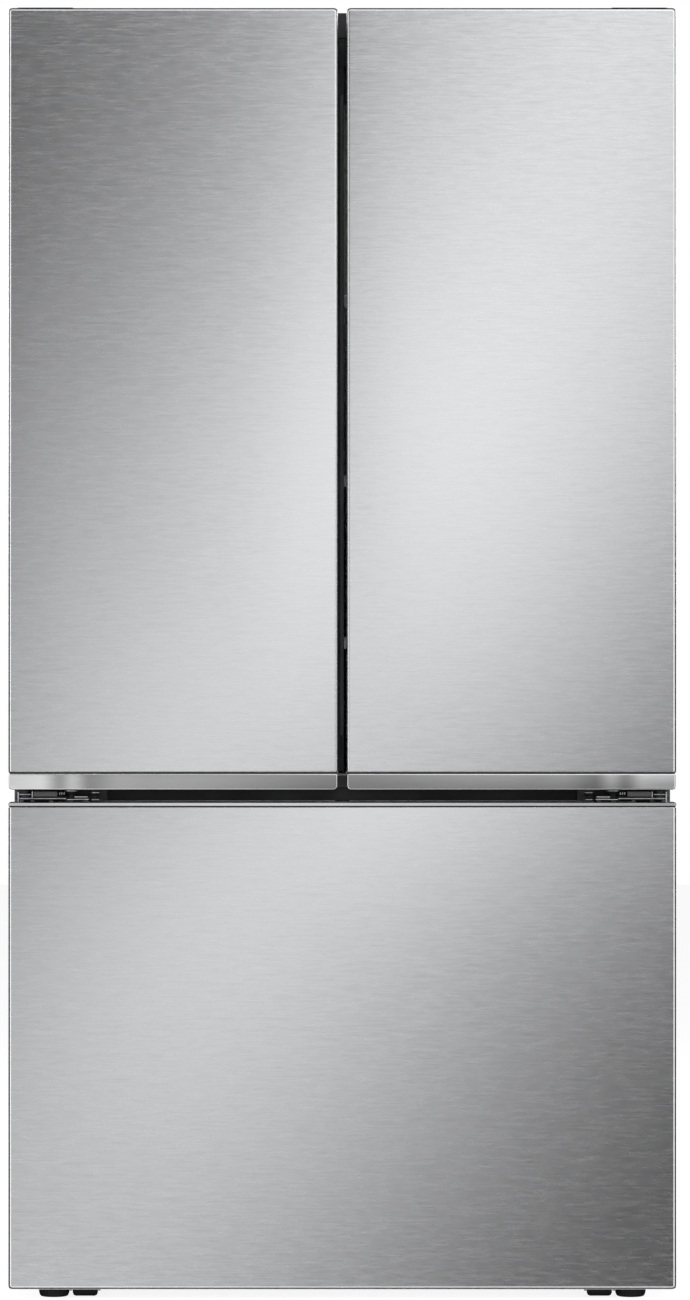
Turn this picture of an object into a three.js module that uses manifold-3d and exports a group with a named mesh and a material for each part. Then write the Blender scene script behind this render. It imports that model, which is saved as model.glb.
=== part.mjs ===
// French door refrigerator with a bottom freezer drawer.
// Millimetres, +Z up, the front faces -Y. The origin is on the floor, under the middle of the body.
// "Left" is the left side as seen by someone who stands in front of it.
import * as THREE from "three";
import { mergeVertices } from "three/addons/utils/BufferGeometryUtils.js";
import Module from "manifold-3d";

const wasm = await Module();
wasm.setup();

// ---- Driving dimensions ----
const WIDTH = 908;            // over the doors
const DEPTH = 722;            // door front to rear cover
const DOOR_TOP = 1761;
const CASE_TOP = 1740;
const CASE_WIDTH = 900;
const DOOR_THICKNESS = 68;
const GASKET_DEPTH = 12;      // between the back of a door and the face of the case
const WALL = 45;              // insulated wall of the case
const GAP = 0.3;              // between pieces that touch
const SHEET = 3;              // steel skins and plastic shells

const FRONT = -DEPTH / 2;
const BACK = DEPTH / 2;
const DOOR_BACK = FRONT + DOOR_THICKNESS;
const CASE_FRONT = DOOR_BACK + GASKET_DEPTH;
const CASE_HALF = CASE_WIDTH / 2;
const DOOR_HALF = WIDTH / 2;
const FOAM_HALF = CASE_HALF - 2 - GAP;
const CAVITY_HALF = CASE_HALF - WALL;
const LINER_HALF = CAVITY_HALF - GAP;
const ROOM_HALF = LINER_HALF - SHEET;

// Heights of the case, from the floor.
const CASE_BOTTOM = 60;
const FREEZER_FLOOR = 95;
const FREEZER_CEILING = 655;
const FRIDGE_FLOOR = 715;
const FRIDGE_CEILING = CASE_TOP - WALL;
const MACHINE_TOP = 250;      // top of the machine compartment, behind the freezer
const STEP_TOP = MACHINE_TOP + 45;

// Depths of the case.
const FOAM_FRONT = CASE_FRONT + SHEET + GAP;
const FOAM_BACK = BACK - 6;
const FRIDGE_REAR = 300;
const FREEZER_REAR = 290;
const STEP_FRONT = 150;       // freezer depth below the step
const MACHINE_FRONT = 200;

// Doors.
const HALF_GAP = 5.9;         // half the slot between the two doors
const DOOR_BOTTOM = 698;
const TRIM_TOP = 720.2;
const CAP_TOP = 1738;         // top of the door's body, behind the raised front lip
const FREEZER_DOOR_BOTTOM = 19;
const FREEZER_DOOR_TOP = 680;
const HINGE_X = 434;
const HINGE_Y = -327;
const PIN_RADIUS = 6;
const PIN_BORE = 6.8;

// Feet and rollers.
const LEG = { x: 396, y: -268, disc: 21.5, stem: 5 };
const FRONT_ROLLER = { x: 353, y: -275, radius: 16, width: 34, lift: 1 };
const REAR_ROLLER = { x: 395, y: 300, radius: 24, width: 30, lift: 0 };
const PAN = [52, CASE_BOTTOM - GAP];

// ---- Materials ----
const material = (color, roughness, metalness) =>
  new THREE.MeshStandardMaterial({ color, roughness, metalness });
const brushedSteel = material(0xb9babc, 0.34, 1);
const trimMetal = material(0xb0b1b3, 0.25, 1);
const greyPaint = material(0x6f7174, 0.55, 0.2);
const zincSteel = material(0xa4a6a8, 0.4, 0.9);
const whitePlastic = material(0xeceeee, 0.4, 0);
const blackPlastic = material(0x1b1b1c, 0.5, 0);
const blackRubber = material(0x101011, 0.8, 0);
const greyRubber = material(0x4a4b4d, 0.8, 0);
const clearPlastic = material(0xdfe8ec, 0.15, 0);
const glass = material(0xcfe3e0, 0.05, 0);
const foam = material(0xe6dcae, 0.9, 0);
const aluminium = material(0xc4c6c8, 0.35, 0.9);
const lamp = material(0xffffff, 0.3, 0);

// ---- Solids ----
function solidOf(geometry) {
  geometry.deleteAttribute("normal");
  geometry.deleteAttribute("uv");
  const merged = mergeVertices(geometry, 1e-4);
  const vertProperties = merged.attributes.position.array;
  const triVerts = new Uint32Array(merged.index.array);
  return new wasm.Manifold(new wasm.Mesh({ numProp: 3, vertProperties, triVerts }));
}

function block([x0, x1], [y0, y1], [z0, z1]) {
  const geometry = new THREE.BoxGeometry(x1 - x0, y1 - y0, z1 - z0);
  return solidOf(geometry.translate((x0 + x1) / 2, (y0 + y1) / 2, (z0 + z1) / 2));
}

// A round bar along X, Y or Z, from one place to another on that axis.
function rod(axis, radius, [from, to], [a, b], sides = 24) {
  const geometry = new THREE.CylinderGeometry(radius, radius, to - from, sides);
  const middle = (from + to) / 2;
  if (axis === "x") geometry.rotateZ(-Math.PI / 2).translate(middle, a, b);
  if (axis === "y") geometry.translate(a, middle, b);
  if (axis === "z") geometry.rotateX(Math.PI / 2).translate(a, b, middle);
  return solidOf(geometry);
}

const join = (solids) => solids.reduce((sum, next) => sum.add(next));
const cut = (body, ...tools) => tools.reduce((left, tool) => left.subtract(tool), body);

// A range on the left (side -1) or right (side 1) half, from two distances off the middle.
const across = (side, inner, outer) => (side > 0 ? [inner, outer] : [-outer, -inner]);
const both = (half) => [-half, half];

// An upright frame with one opening: a slab with a rectangle cut through it along Y.
function frame([x0, x1], ys, [z0, z1], border) {
  const opening = block(
    [x0 + border, x1 - border],
    [ys[0] - 1, ys[1] + 1],
    [z0 + border, z1 - border],
  );
  return cut(block([x0, x1], ys, [z0, z1]), opening);
}

// A tub that is open at the top.
function tub([x0, x1], [y0, y1], [z0, z1], wall = SHEET) {
  const inside = block([x0 + wall, x1 - wall], [y0 + wall, y1 - wall], [z0 + wall, z1 + 1]);
  return cut(block([x0, x1], [y0, y1], [z0, z1]), inside);
}

const refrigerator = new THREE.Group();

function add(name, solid, look) {
  const made = solid.getMesh();
  const places = new Float32Array(made.numVert * 3);
  for (let i = 0; i < made.numVert; i++) {
    places.set(made.vertProperties.subarray(i * made.numProp, i * made.numProp + 3), i * 3);
  }
  const geometry = new THREE.BufferGeometry();
  geometry.setAttribute("position", new THREE.BufferAttribute(places, 3));
  geometry.setIndex(new THREE.BufferAttribute(made.triVerts, 1));
  const mesh = new THREE.Mesh(geometry, look);
  mesh.name = name;
  refrigerator.add(mesh);
}

// ---- Insulated case ----
function outerWrapper() {
  const ys = [FOAM_FRONT, BACK - 4];
  const shell = block(both(CASE_HALF), ys, [40, CASE_TOP]);
  const inside = block(both(CASE_HALF - 2), [ys[0] - 1, ys[1] + 1], [0, CASE_TOP - 2]);
  add("outer_wrapper", cut(shell, inside), greyPaint);
}

function frontFrame() {
  const ys = [CASE_FRONT, CASE_FRONT + SHEET];
  const through = [ys[0] - 1, ys[1] + 1];
  const face = block(both(CASE_HALF), ys, [CASE_BOTTOM, CASE_TOP]);
  const fridge = block(both(CAVITY_HALF), through, [FRIDGE_FLOOR, FRIDGE_CEILING]);
  const freezer = block(both(CAVITY_HALF), through, [FREEZER_FLOOR, FREEZER_CEILING]);
  add("front_frame", cut(face, fridge, freezer), greyPaint);
}

function insulation() {
  const open = FOAM_FRONT - 1;
  const body = block(both(FOAM_HALF), [FOAM_FRONT, FOAM_BACK], [CASE_BOTTOM, CASE_TOP - 2 - GAP]);
  const fridge = block(both(CAVITY_HALF), [open, FRIDGE_REAR], [FRIDGE_FLOOR, FRIDGE_CEILING]);
  const freezer = block(both(CAVITY_HALF), [open, FREEZER_REAR], [STEP_TOP, FREEZER_CEILING]);
  const lower = block(both(CAVITY_HALF), [open, STEP_FRONT], [FREEZER_FLOOR, STEP_TOP + 1]);
  const machine = block(both(CASE_HALF), [MACHINE_FRONT, BACK], [0, MACHINE_TOP]);
  add("insulation_foam", cut(body, fridge, freezer, lower, machine), foam);
}

function liners() {
  const ys = (rear) => [FOAM_FRONT, rear - GAP];
  const hollow = (rear) => [FOAM_FRONT - 1, rear - GAP - SHEET];
  const floor = FRIDGE_FLOOR + GAP;
  const ceiling = FRIDGE_CEILING - GAP;
  let fridge = block(both(LINER_HALF), ys(FRIDGE_REAR), [floor, ceiling]);
  const room = block(both(ROOM_HALF), hollow(FRIDGE_REAR), [floor + SHEET, ceiling - SHEET]);
  fridge = cut(fridge, room);
  const ledgeDepth = [SHELF_DEPTH[0] + 4, SHELF_DEPTH[1] - 4];
  for (const level of SHELF_LEVELS) {
    for (const side of [-1, 1]) {
      const ledge = [level - SHELF_THICKNESS - 8, level - SHELF_THICKNESS - GAP];
      fridge = fridge.add(block(across(side, LEDGE_INNER, ROOM_HALF + 1), ledgeDepth, ledge));
    }
  }
  add("fridge_liner", fridge, whitePlastic);

  const outerLow = block(both(LINER_HALF), ys(STEP_FRONT), [FREEZER_FLOOR + GAP, FREEZER_CEILING - GAP]);
  const outerHigh = block(both(LINER_HALF), ys(FREEZER_REAR), [STEP_TOP + GAP, FREEZER_CEILING - GAP]);
  const top = FREEZER_CEILING - GAP - SHEET;
  const roomLow = block(both(ROOM_HALF), hollow(STEP_FRONT), [FREEZER_FLOOR + GAP + SHEET, top]);
  const roomHigh = block(both(ROOM_HALF), hollow(FREEZER_REAR), [STEP_TOP + GAP + SHEET, top]);
  let freezer = cut(outerLow.add(outerHigh), roomLow, roomHigh);
  for (const side of [-1, 1]) {
    const ledge = [TRAY.z[0] - 8, TRAY.z[0] - 1];
    freezer = freezer.add(block(across(side, TRAY.ledge, ROOM_HALF + 1), [-240, 220], ledge));
  }
  add("freezer_liner", freezer, whitePlastic);
}

function rearPanels() {
  const ys = [FOAM_BACK + GAP, BACK - 1];
  add("back_panel", block(both(FOAM_HALF), ys, [MACHINE_TOP + GAP, CASE_TOP - 2 - GAP]), greyPaint);
  let cover = block(both(FOAM_HALF), [BACK - SHEET, BACK], [CASE_BOTTOM + GAP, MACHINE_TOP - GAP]);
  const pitch = 20;
  for (let row = 0; row < 6; row++) {
    const z = 105 + row * pitch;
    for (const [x0, x1] of [[-400, -220], [60, 240], [270, 420]]) {
      cover = cut(cover, block([x0, x1], [BACK - 10, BACK + 1], [z, z + 7]));
    }
  }
  add("machine_cover", cover, blackPlastic);
}

// The base pan carries the machine compartment and holds the rear axles between cheeks.
function basePan() {
  const pieces = [block(both(FOAM_HALF), [CASE_FRONT + 8, BACK - SHEET - GAP], PAN)];
  const { x, y, width } = REAR_ROLLER;
  for (const side of [-1, 1]) {
    for (const cheek of [x - width / 2 - 5, x + width / 2 + 1]) {
      pieces.push(block(across(side, cheek, cheek + 4), [y - 14, y + 14], [12, PAN[0] + 1]));
    }
    const reach = across(side, x - width / 2 - 4, x + width / 2 + 4);
    pieces.push(rod("x", 4, reach, [y, REAR_ROLLER.radius], 16));
  }
  add("base_pan", join(pieces), zincSteel);
}

// ---- Hinges and their covers ----
function topHinge(side, word) {
  const z = [CASE_TOP + GAP, CASE_TOP + GAP + 4];
  const plate = block(across(side, 376, 444), [HINGE_Y + 4, -200], z);
  const nose = rod("z", 10, z, [side * HINGE_X, HINGE_Y], 20);
  const arm = block(across(side, 400, 444), [HINGE_Y, HINGE_Y + 20], z);
  const pin = rod("z", PIN_RADIUS, [CAP_TOP - 26, z[1]], [side * HINGE_X, HINGE_Y], 20);
  add(`top_hinge_${word}`, join([plate, arm, nose, pin]), zincSteel);
}

function hingeCover(side, word) {
  const overDoor = block(across(side, 372, 445.5), [HINGE_Y - 13, CASE_FRONT], [CASE_TOP + 8, DOOR_TOP - 3]);
  const overCase = block(across(side, 370, 445.5), [CASE_FRONT, -190], [CASE_TOP + GAP, DOOR_TOP + 9]);
  const roomInside = block(across(side, 374, 444.5), [CASE_FRONT - 1, -194], [0, DOOR_TOP + 6]);
  add(`hinge_cover_${word}`, cut(overDoor.add(overCase), roomInside), blackPlastic);
}

function topFrontCover() {
  const slab = block(both(368), [CASE_FRONT - 3, -190], [CASE_TOP + GAP, DOOR_TOP + 1]);
  const lip = block(both(368), [CASE_FRONT - 3, CASE_FRONT - GAP], [1728, CASE_TOP + 2]);
  const under = block(both(364), [CASE_FRONT + 2, -194], [0, DOOR_TOP - 2]);
  add("top_front_cover", cut(slab.add(lip), under), blackPlastic);
}

function centreHinge(side, word) {
  const plate = block(across(side, 345, 446), [HINGE_Y + 2, CASE_FRONT - GAP], [684, 688]);
  const nose = rod("z", 12, [684, 688], [side * HINGE_X, HINGE_Y], 20);
  const flange = block(across(side, 345, 446), [CASE_FRONT - 3 - GAP, CASE_FRONT - GAP], [674, 699]);
  const pin = rod("z", PIN_RADIUS, [684, 716], [side * HINGE_X, HINGE_Y], 20);
  const collar = rod("z", 11, [686, 696.5], [side * HINGE_X, HINGE_Y], 20);
  add(`centre_hinge_${word}`, join([plate, nose, flange, pin, collar]), zincSteel);
}

// ---- Feet, rollers and their brackets ----
function wheel(name, spec, side) {
  const { x, y, radius, width, lift } = spec;
  const centre = [y, radius + lift];
  const tread = rod("x", radius, both(width / 2).map((d) => side * x + d), centre);
  const bore = rod("x", 4.6, both(width).map((d) => side * x + d), centre, 16);
  const grooves = [-1, 1].map((end) => {
    const from = side * x + (end * width) / 2;
    return rod("x", radius * 0.72, both(2).map((d) => from + d), centre);
  });
  const hub = rod("x", 7.5, both(width / 2).map((d) => side * x + d), centre, 16);
  add(name, cut(cut(tread, ...grooves).add(hub), bore), blackRubber);
}

function frontBracket(side, word) {
  const { x, y, radius, width, lift } = FRONT_ROLLER;
  const inner = x - width / 2 - 4;
  const outer = x + width / 2 + 1;
  const top = block(across(side, inner, 420), [-291, -235], [46, PAN[0] - GAP]);
  const cheeks = [inner, outer].map((from) =>
    block(across(side, from, from + 3), [y - 11, y + 16], [9, 47]));
  const axle = rod("x", 4, across(side, inner + 1, outer + 2), [y, radius + lift], 16);
  const boss = rod("z", 10, [30, 47], [side * LEG.x, LEG.y]);
  const thread = rod("z", LEG.stem + 0.7, [20, 60], [side * LEG.x, LEG.y]);
  add(`front_bracket_${word}`, cut(join([top, ...cheeks, axle, boss]), thread), zincSteel);
}

function levelingLeg(side, word) {
  const profile = [
    [0, 0], [LEG.disc - 3, 0], [LEG.disc - 1, 3], [LEG.disc, 7], [LEG.disc, 14],
    [LEG.disc - 4, 17], [LEG.stem + 3, 17], [LEG.stem + 3, 22], [LEG.stem, 23],
    [LEG.stem, 50], [0, 50],
  ].map(([radius, height]) => new THREE.Vector2(radius, height));
  const turned = new THREE.LatheGeometry(profile, 24).rotateX(Math.PI / 2);
  add(`leveling_leg_${word}`, solidOf(turned.translate(side * LEG.x, LEG.y, 0)), blackPlastic);
}

// ---- Machine compartment ----
const FAN = { x: 10, y: 275, z: 150, radius: 58 };

function fan(name, axis, spec, hubLength, look) {
  const { x, y, z, radius } = spec;
  const blades = [];
  const count = 5;
  for (let i = 0; i < count; i++) {
    const blade = new THREE.BoxGeometry(3, radius - 8, 26);
    blade.rotateY(0.6).translate(0, (radius + 8) / 2 - 1, 0);
    blades.push(solidOf(blade.rotateX((i * 2 * Math.PI) / count)));
  }
  const hub = rod("x", 15, both(hubLength / 2), [0, 0], 20);
  const shaft = rod("x", 3.4, both(hubLength), [0, 0], 12);
  let made = cut(join([hub, ...blades]), shaft);
  if (axis === "y") made = made.rotate([0, 0, 90]);
  add(name, made.translate([x, y, z]), look);
}

function machineCompartment() {
  const floor = CASE_BOTTOM;
  const shell = [
    [0, 0], [58, 0], [62, 8], [62, 92], [56, 118], [38, 136], [14, 143], [0, 144],
  ].map(([radius, height]) => new THREE.Vector2(radius, height));
  const can = new THREE.LatheGeometry(shell, 28).rotateX(Math.PI / 2).translate(-180, 278, floor + 14);
  const foot = block([-262, -98], [232, 324], [floor + 6, floor + 16]);
  const pipe = rod("x", 5, [-135, -92], [278, floor + 75], 12);
  add("compressor", join([solidOf(can), foot, pipe]), blackPlastic);

  let coil = block([75, 330], [222, 335], [floor + 10, 225]);
  for (let slot = 0; slot < 8; slot++) {
    const x = 86 + slot * 29.5;
    coil = cut(coil, block([x, x + 24], [216, 341], [floor + 22, 213]));
    coil = coil.add(rod("x", 4.5, [x - 3, x + 27], [250, 120], 8));
    coil = coil.add(rod("x", 4.5, [x - 3, x + 27], [305, 120], 8));
  }
  const motor = rod("x", 17, [34, 62], [FAN.y, FAN.z], 20);
  const shaft = rod("x", 2.8, [-4, 40], [FAN.y, FAN.z], 12);
  const stay = block([50, 80], [FAN.y - 9, FAN.y + 9], [FAN.z - 8, FAN.z + 8]);
  add("condenser_coil", join([coil, motor, shaft, stay]), zincSteel);
  fan("condenser_fan", "x", FAN, 22, greyRubber);
}

// ---- Freezer's cooling unit ----
const EVAPORATOR_FAN = { x: 0, y: 262, z: 585, radius: 44 };

function coolingUnit() {
  const fins = { x: [-300, 300], y: [244, 282], z: [330, 500] };
  let coil = block(fins.x, fins.y, fins.z);
  for (let slot = 0; slot < 10; slot++) {
    const x = -290 + slot * 58.5;
    coil = cut(coil, block([x, x + 53], [240, 290], [342, 488]));
    coil = coil.add(rod("x", 4, [x - 4, x + 57], [263, 415], 8));
  }
  const stand = block([-20, 20], [279, 282], [499, 600]);
  const shaft = rod("y", 2.8, [248, 281], [EVAPORATOR_FAN.x, EVAPORATOR_FAN.z], 12);
  add("evaporator_coil", join([coil, stand, shaft]), aluminium);
  fan("evaporator_fan", "y", EVAPORATOR_FAN, 18, whitePlastic);

  let cover = block(both(398), [232, 236], [STEP_TOP + 8, 648]);
  const grille = rod("y", 40, [220, 250], [EVAPORATOR_FAN.x, EVAPORATOR_FAN.z], 28);
  cover = cut(cover, grille);
  for (let slot = 0; slot < 5; slot++) {
    const z = 312 + slot * 14;
    cover = cut(cover, block([-250, 250], [220, 250], [z, z + 6]));
  }
  cover = cover.add(block([-2, 2], [232, 236], [540, 630]));
  add("evaporator_cover", cover.add(block([-45, 45], [232, 236], [583, 587])), whitePlastic);
}

// ---- Inside the refrigerator ----
const SHELF_LEVELS = [905, 1130, 1380];
const SHELF_THICKNESS = 6;
const SHELF_DEPTH = [-160, 262];
const LEDGE_INNER = 388;

function glassShelf(name, [x0, x1], level) {
  const pane = block([x0, x1], SHELF_DEPTH, [level - SHELF_THICKNESS, level]);
  const edge = block([x0, x1], [SHELF_DEPTH[0] - 8, SHELF_DEPTH[0] + 1], [level - 16, level + 3]);
  const rear = block([x0, x1], [SHELF_DEPTH[1] - 1, SHELF_DEPTH[1] + 6], [level - 10, level + 14]);
  add(name, join([pane, edge, rear]), glass);
}

function interior() {
  const half = ROOM_HALF - 1.5;
  glassShelf("crisper_cover", both(half), SHELF_LEVELS[0]);
  glassShelf("shelf_full", both(half), SHELF_LEVELS[1]);
  glassShelf("shelf_left", [-half, -2.5], SHELF_LEVELS[2]);
  glassShelf("shelf_right", [2.5, half], SHELF_LEVELS[2]);
  let duct = block(both(150), [272, FRIDGE_REAR - SHEET - 2 * GAP], [925, 1640]);
  duct = duct.subtract(block(both(152), [260, 290], [1118, 1148]));
  duct = duct.subtract(block(both(152), [260, 290], [1368, 1398]));
  for (const z of [1020, 1240, 1480]) {
    for (const side of [-1, 1]) {
      duct = cut(duct, block(across(side, 60, 120), [268, 284], [z, z + 34]));
    }
  }
  add("air_duct", duct, whitePlastic);
  const ceiling = FRIDGE_CEILING - 2 * GAP - SHEET;
  add("ceiling_lamp", block(both(140), [-120, 20], [ceiling - 9, ceiling]), lamp);
}

const CRISPER = { inner: 8, outer: 384, y: [-190, 200], z: [724, 880] };

function crisper(side, word) {
  const { inner, outer, y, z } = CRISPER;
  const body = tub(across(side, inner, outer), y, z, 4);
  const grip = block(across(side, inner, outer), [y[0] - 6, y[0] + 1], [z[1] - 34, z[1]]);
  const recess = block(across(side, inner + 60, outer - 60), [y[0] - 3, y[0] + 0.5], [z[1] - 40, z[1] - 14]);
  add(`crisper_${word}`, cut(body.add(grip), recess), clearPlastic);
}

// ---- French doors ----
const DIKE = { inner: 40, outer: 392, depth: 48, wall: 14, z: [735, 1675] };
const GRIP_DEPTH = 30;        // finger pocket above the trim's lower edge

function pinBore(side, z) {
  return rod("z", PIN_BORE, z, [side * HINGE_X, HINGE_Y]);
}

// Finger pocket in the underside of a door, behind the trim's front wall.
function gripPocket(side) {
  return block(across(side, 24, 300), [FRONT + 14, DOOR_BACK - 14], [0, DOOR_BOTTOM + GRIP_DEPTH]);
}

function frenchDoor(side, word) {
  const width = (inner, outer) => across(side, inner, outer);
  const front = block(width(HALF_GAP, DOOR_HALF), [FRONT, FRONT + SHEET], [TRIM_TOP + GAP, DOOR_TOP]);
  const returns = [[HALF_GAP, HALF_GAP + SHEET], [DOOR_HALF - SHEET, DOOR_HALF]].map(([a, b]) =>
    block(width(a, b), [FRONT + 1, DOOR_BACK], [TRIM_TOP + GAP, CAP_TOP]));
  add(`${word}_door_skin`, join([front, ...returns]), brushedSteel);

  const core = block(
    width(HALF_GAP + SHEET + GAP, DOOR_HALF - SHEET - GAP),
    [FRONT + SHEET + GAP, DOOR_BACK],
    [TRIM_TOP + GAP, CAP_TOP],
  );
  const lowerBore = pinBore(side, [600, 722]);
  const upperBore = pinBore(side, [CAP_TOP - 30, DOOR_TOP]);
  add(`${word}_door_liner`, cut(core, gripPocket(side), lowerBore, upperBore), whitePlastic);

  const dikeDepth = [DOOR_BACK + GAP, DOOR_BACK + DIKE.depth];
  add(`${word}_door_dike`, frame(width(DIKE.inner, DIKE.outer), dikeDepth, DIKE.z, DIKE.wall), whitePlastic);

  const seal = frame(width(8, 432), [DOOR_BACK + GAP, CASE_FRONT - GAP], [702, 1724], 14);
  add(`${word}_door_gasket`, seal, greyRubber);

  const trim = block(width(HALF_GAP + 0.7, DOOR_HALF - 0.7), [FRONT + 0.7, DOOR_BACK], [DOOR_BOTTOM, TRIM_TOP]);
  add(`${word}_door_trim`, cut(trim, gripPocket(side), pinBore(side, [600, 800])), trimMetal);

  for (const [level, z] of [["upper", [1400, 1515]], ["lower", [1000, 1150]]]) {
    const bin = tub(
      width(DIKE.inner + DIKE.wall + 1.5, DIKE.outer - DIKE.wall - 1.5),
      [DOOR_BACK + 3, -185],
      z,
    );
    add(`${word}_bin_${level}`, bin, clearPlastic);
  }
}

// The flap closes the slot between the doors. It is hung on the left door and folds back as that door opens.
const FLAP = { x: [-30, 2], y: [CASE_FRONT, CASE_FRONT + 14], z: [722, 1688] };

function mullionFlap() {
  const body = block(FLAP.x, FLAP.y, FLAP.z);
  const ridge = block([-3.5, 2], [CASE_FRONT - 5, CASE_FRONT + 1], [774, 1652]);
  const corner = new THREE.BoxGeometry(10, 10, 2000).rotateZ(Math.PI / 4);
  const chamfer = solidOf(corner.translate(FLAP.x[1] + 3, FLAP.y[1] + 1, 1200));
  add("mullion_flap", cut(body.add(ridge), chamfer), blackPlastic);
}

// ---- Freezer drawer ----
const RAIL = { x: [376, 398], y: [DOOR_BACK + GAP, 120], z: [300, 330] };
const FREEZER_BIN = { half: 366, y: [-238, 132], z: [112, 400] };
const TRAY = { half: 396, y: [-232, 205], z: [440, 560], ledge: 386 };

function freezerDrawer() {
  const skinTop = FREEZER_DOOR_TOP - 4;
  const front = block(both(DOOR_HALF), [FRONT, FRONT + SHEET], [FREEZER_DOOR_BOTTOM, skinTop]);
  const returns = [-1, 1].map((side) =>
    block(across(side, DOOR_HALF - SHEET, DOOR_HALF), [FRONT + 1, DOOR_BACK], [FREEZER_DOOR_BOTTOM, skinTop]));
  add("freezer_door_skin", join([front, ...returns]), brushedSteel);

  const handleBottom = 636;
  const coreHalf = DOOR_HALF - SHEET - GAP;
  const core = block(both(coreHalf), [FRONT + SHEET + GAP, DOOR_BACK], [FREEZER_DOOR_BOTTOM, handleBottom]);
  const dike = frame(both(368), [DOOR_BACK - 1, DOOR_BACK + 40], [112, 628], DIKE.wall);
  add("freezer_door_liner", core.add(dike), whitePlastic);

  const capBody = block(both(coreHalf), [FRONT + SHEET + GAP, DOOR_BACK], [handleBottom + GAP, FREEZER_DOOR_TOP]);
  const capEdge = block(both(DOOR_HALF), [FRONT, DOOR_BACK], [skinTop + GAP, FREEZER_DOOR_TOP]);
  const pocket = block(both(400), [FRONT + 12, DOOR_BACK - 10], [FREEZER_DOOR_TOP - 34, FREEZER_DOOR_TOP + 1]);
  add("freezer_handle_cap", cut(capBody.add(capEdge), pocket), trimMetal);

  const seal = frame(both(432), [DOOR_BACK + GAP, CASE_FRONT - GAP], [74, 670], 14);
  add("freezer_gasket", seal, greyRubber);

  // Each rail carries a ledge that the bin is clipped to.
  for (const [side, word] of [[-1, "left"], [1, "right"]]) {
    const rail = block(across(side, ...RAIL.x), RAIL.y, RAIL.z);
    const ledge = block(across(side, FREEZER_BIN.half + GAP, RAIL.x[0] + 1), [-235, 110], [RAIL.z[1] - 4, RAIL.z[1]]);
    add(`freezer_rail_${word}`, rail.add(ledge), zincSteel);
  }

  const bin = tub(both(FREEZER_BIN.half), FREEZER_BIN.y, FREEZER_BIN.z, 4);
  add("freezer_bin", bin, clearPlastic);
  add("freezer_tray", tub(both(TRAY.half), TRAY.y, TRAY.z, 4), clearPlastic);
}

// ---- The whole refrigerator ----
outerWrapper();
frontFrame();
insulation();
liners();
rearPanels();
basePan();
topFrontCover();
machineCompartment();
coolingUnit();
interior();
mullionFlap();
freezerDrawer();
for (const [side, word] of [[-1, "left"], [1, "right"]]) {
  topHinge(side, word);
  hingeCover(side, word);
  centreHinge(side, word);
  frontBracket(side, word);
  levelingLeg(side, word);
  wheel(`front_roller_${word}`, FRONT_ROLLER, side);
  wheel(`rear_roller_${word}`, REAR_ROLLER, side);
  crisper(side, word);
  frenchDoor(side, word);
}

export default refrigerator;
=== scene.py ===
"""French door refrigerator with a freezer drawer, in metres. It stands on z = 0 and its doors face -Y."""

import math

import bmesh
import bpy
from mathutils import Matrix, Vector


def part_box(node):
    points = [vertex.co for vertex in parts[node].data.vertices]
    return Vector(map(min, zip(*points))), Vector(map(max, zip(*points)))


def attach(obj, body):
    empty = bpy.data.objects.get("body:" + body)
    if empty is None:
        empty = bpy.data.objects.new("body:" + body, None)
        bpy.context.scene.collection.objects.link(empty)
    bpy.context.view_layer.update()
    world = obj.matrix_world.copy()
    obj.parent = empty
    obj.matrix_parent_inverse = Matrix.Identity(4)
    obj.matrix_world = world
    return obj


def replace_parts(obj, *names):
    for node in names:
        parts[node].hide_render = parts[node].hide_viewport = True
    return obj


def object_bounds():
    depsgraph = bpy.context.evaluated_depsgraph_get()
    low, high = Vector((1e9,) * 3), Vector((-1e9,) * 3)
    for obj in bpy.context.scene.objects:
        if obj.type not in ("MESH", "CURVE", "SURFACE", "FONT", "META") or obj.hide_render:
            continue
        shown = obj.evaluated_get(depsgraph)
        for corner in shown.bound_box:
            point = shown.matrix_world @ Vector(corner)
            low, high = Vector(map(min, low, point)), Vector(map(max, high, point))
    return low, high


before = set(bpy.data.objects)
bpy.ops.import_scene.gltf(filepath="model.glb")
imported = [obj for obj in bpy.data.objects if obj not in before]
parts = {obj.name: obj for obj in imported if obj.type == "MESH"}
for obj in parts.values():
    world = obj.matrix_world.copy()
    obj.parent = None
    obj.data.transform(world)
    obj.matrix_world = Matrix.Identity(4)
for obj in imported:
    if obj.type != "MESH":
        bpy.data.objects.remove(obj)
cad_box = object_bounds()

# ==== Camera ====
# It stands square on to the doors, a little over waist height, far enough back for the upright edges
# to stay parallel, as for a catalogue picture of a tall appliance.
VIEW_DISTANCE = 8.0
VIEW_HEIGHT = 1.767          # what the frame takes in at the doors, top to bottom
SENSOR = 36.0
lens = bpy.data.cameras.new("camera")
lens.sensor_width = SENSOR
lens.lens = SENSOR * VIEW_DISTANCE / VIEW_HEIGHT
camera = bpy.data.objects.new("camera", lens)
camera.location = (0.0037, cad_box[0][1] - VIEW_DISTANCE, 0.888)
camera.rotation_euler = (math.radians(90), 0, 0)
bpy.context.scene.collection.objects.link(camera)
bpy.context.scene.camera = camera
bpy.context.scene.view_settings.view_transform = "Standard"

# ==== Painted steel case ====
# One sheet is folded over the sides and the top, and a punched frame closes the front. Both are steel
# with a baked, finely pebbled grey paint, and the foam that is blown in behind them holds them flat.


def new_material(name):
    material = bpy.data.materials.new(name)
    material.use_nodes = True
    tree = material.node_tree
    return material, tree, tree.nodes["Principled BSDF"]


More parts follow.
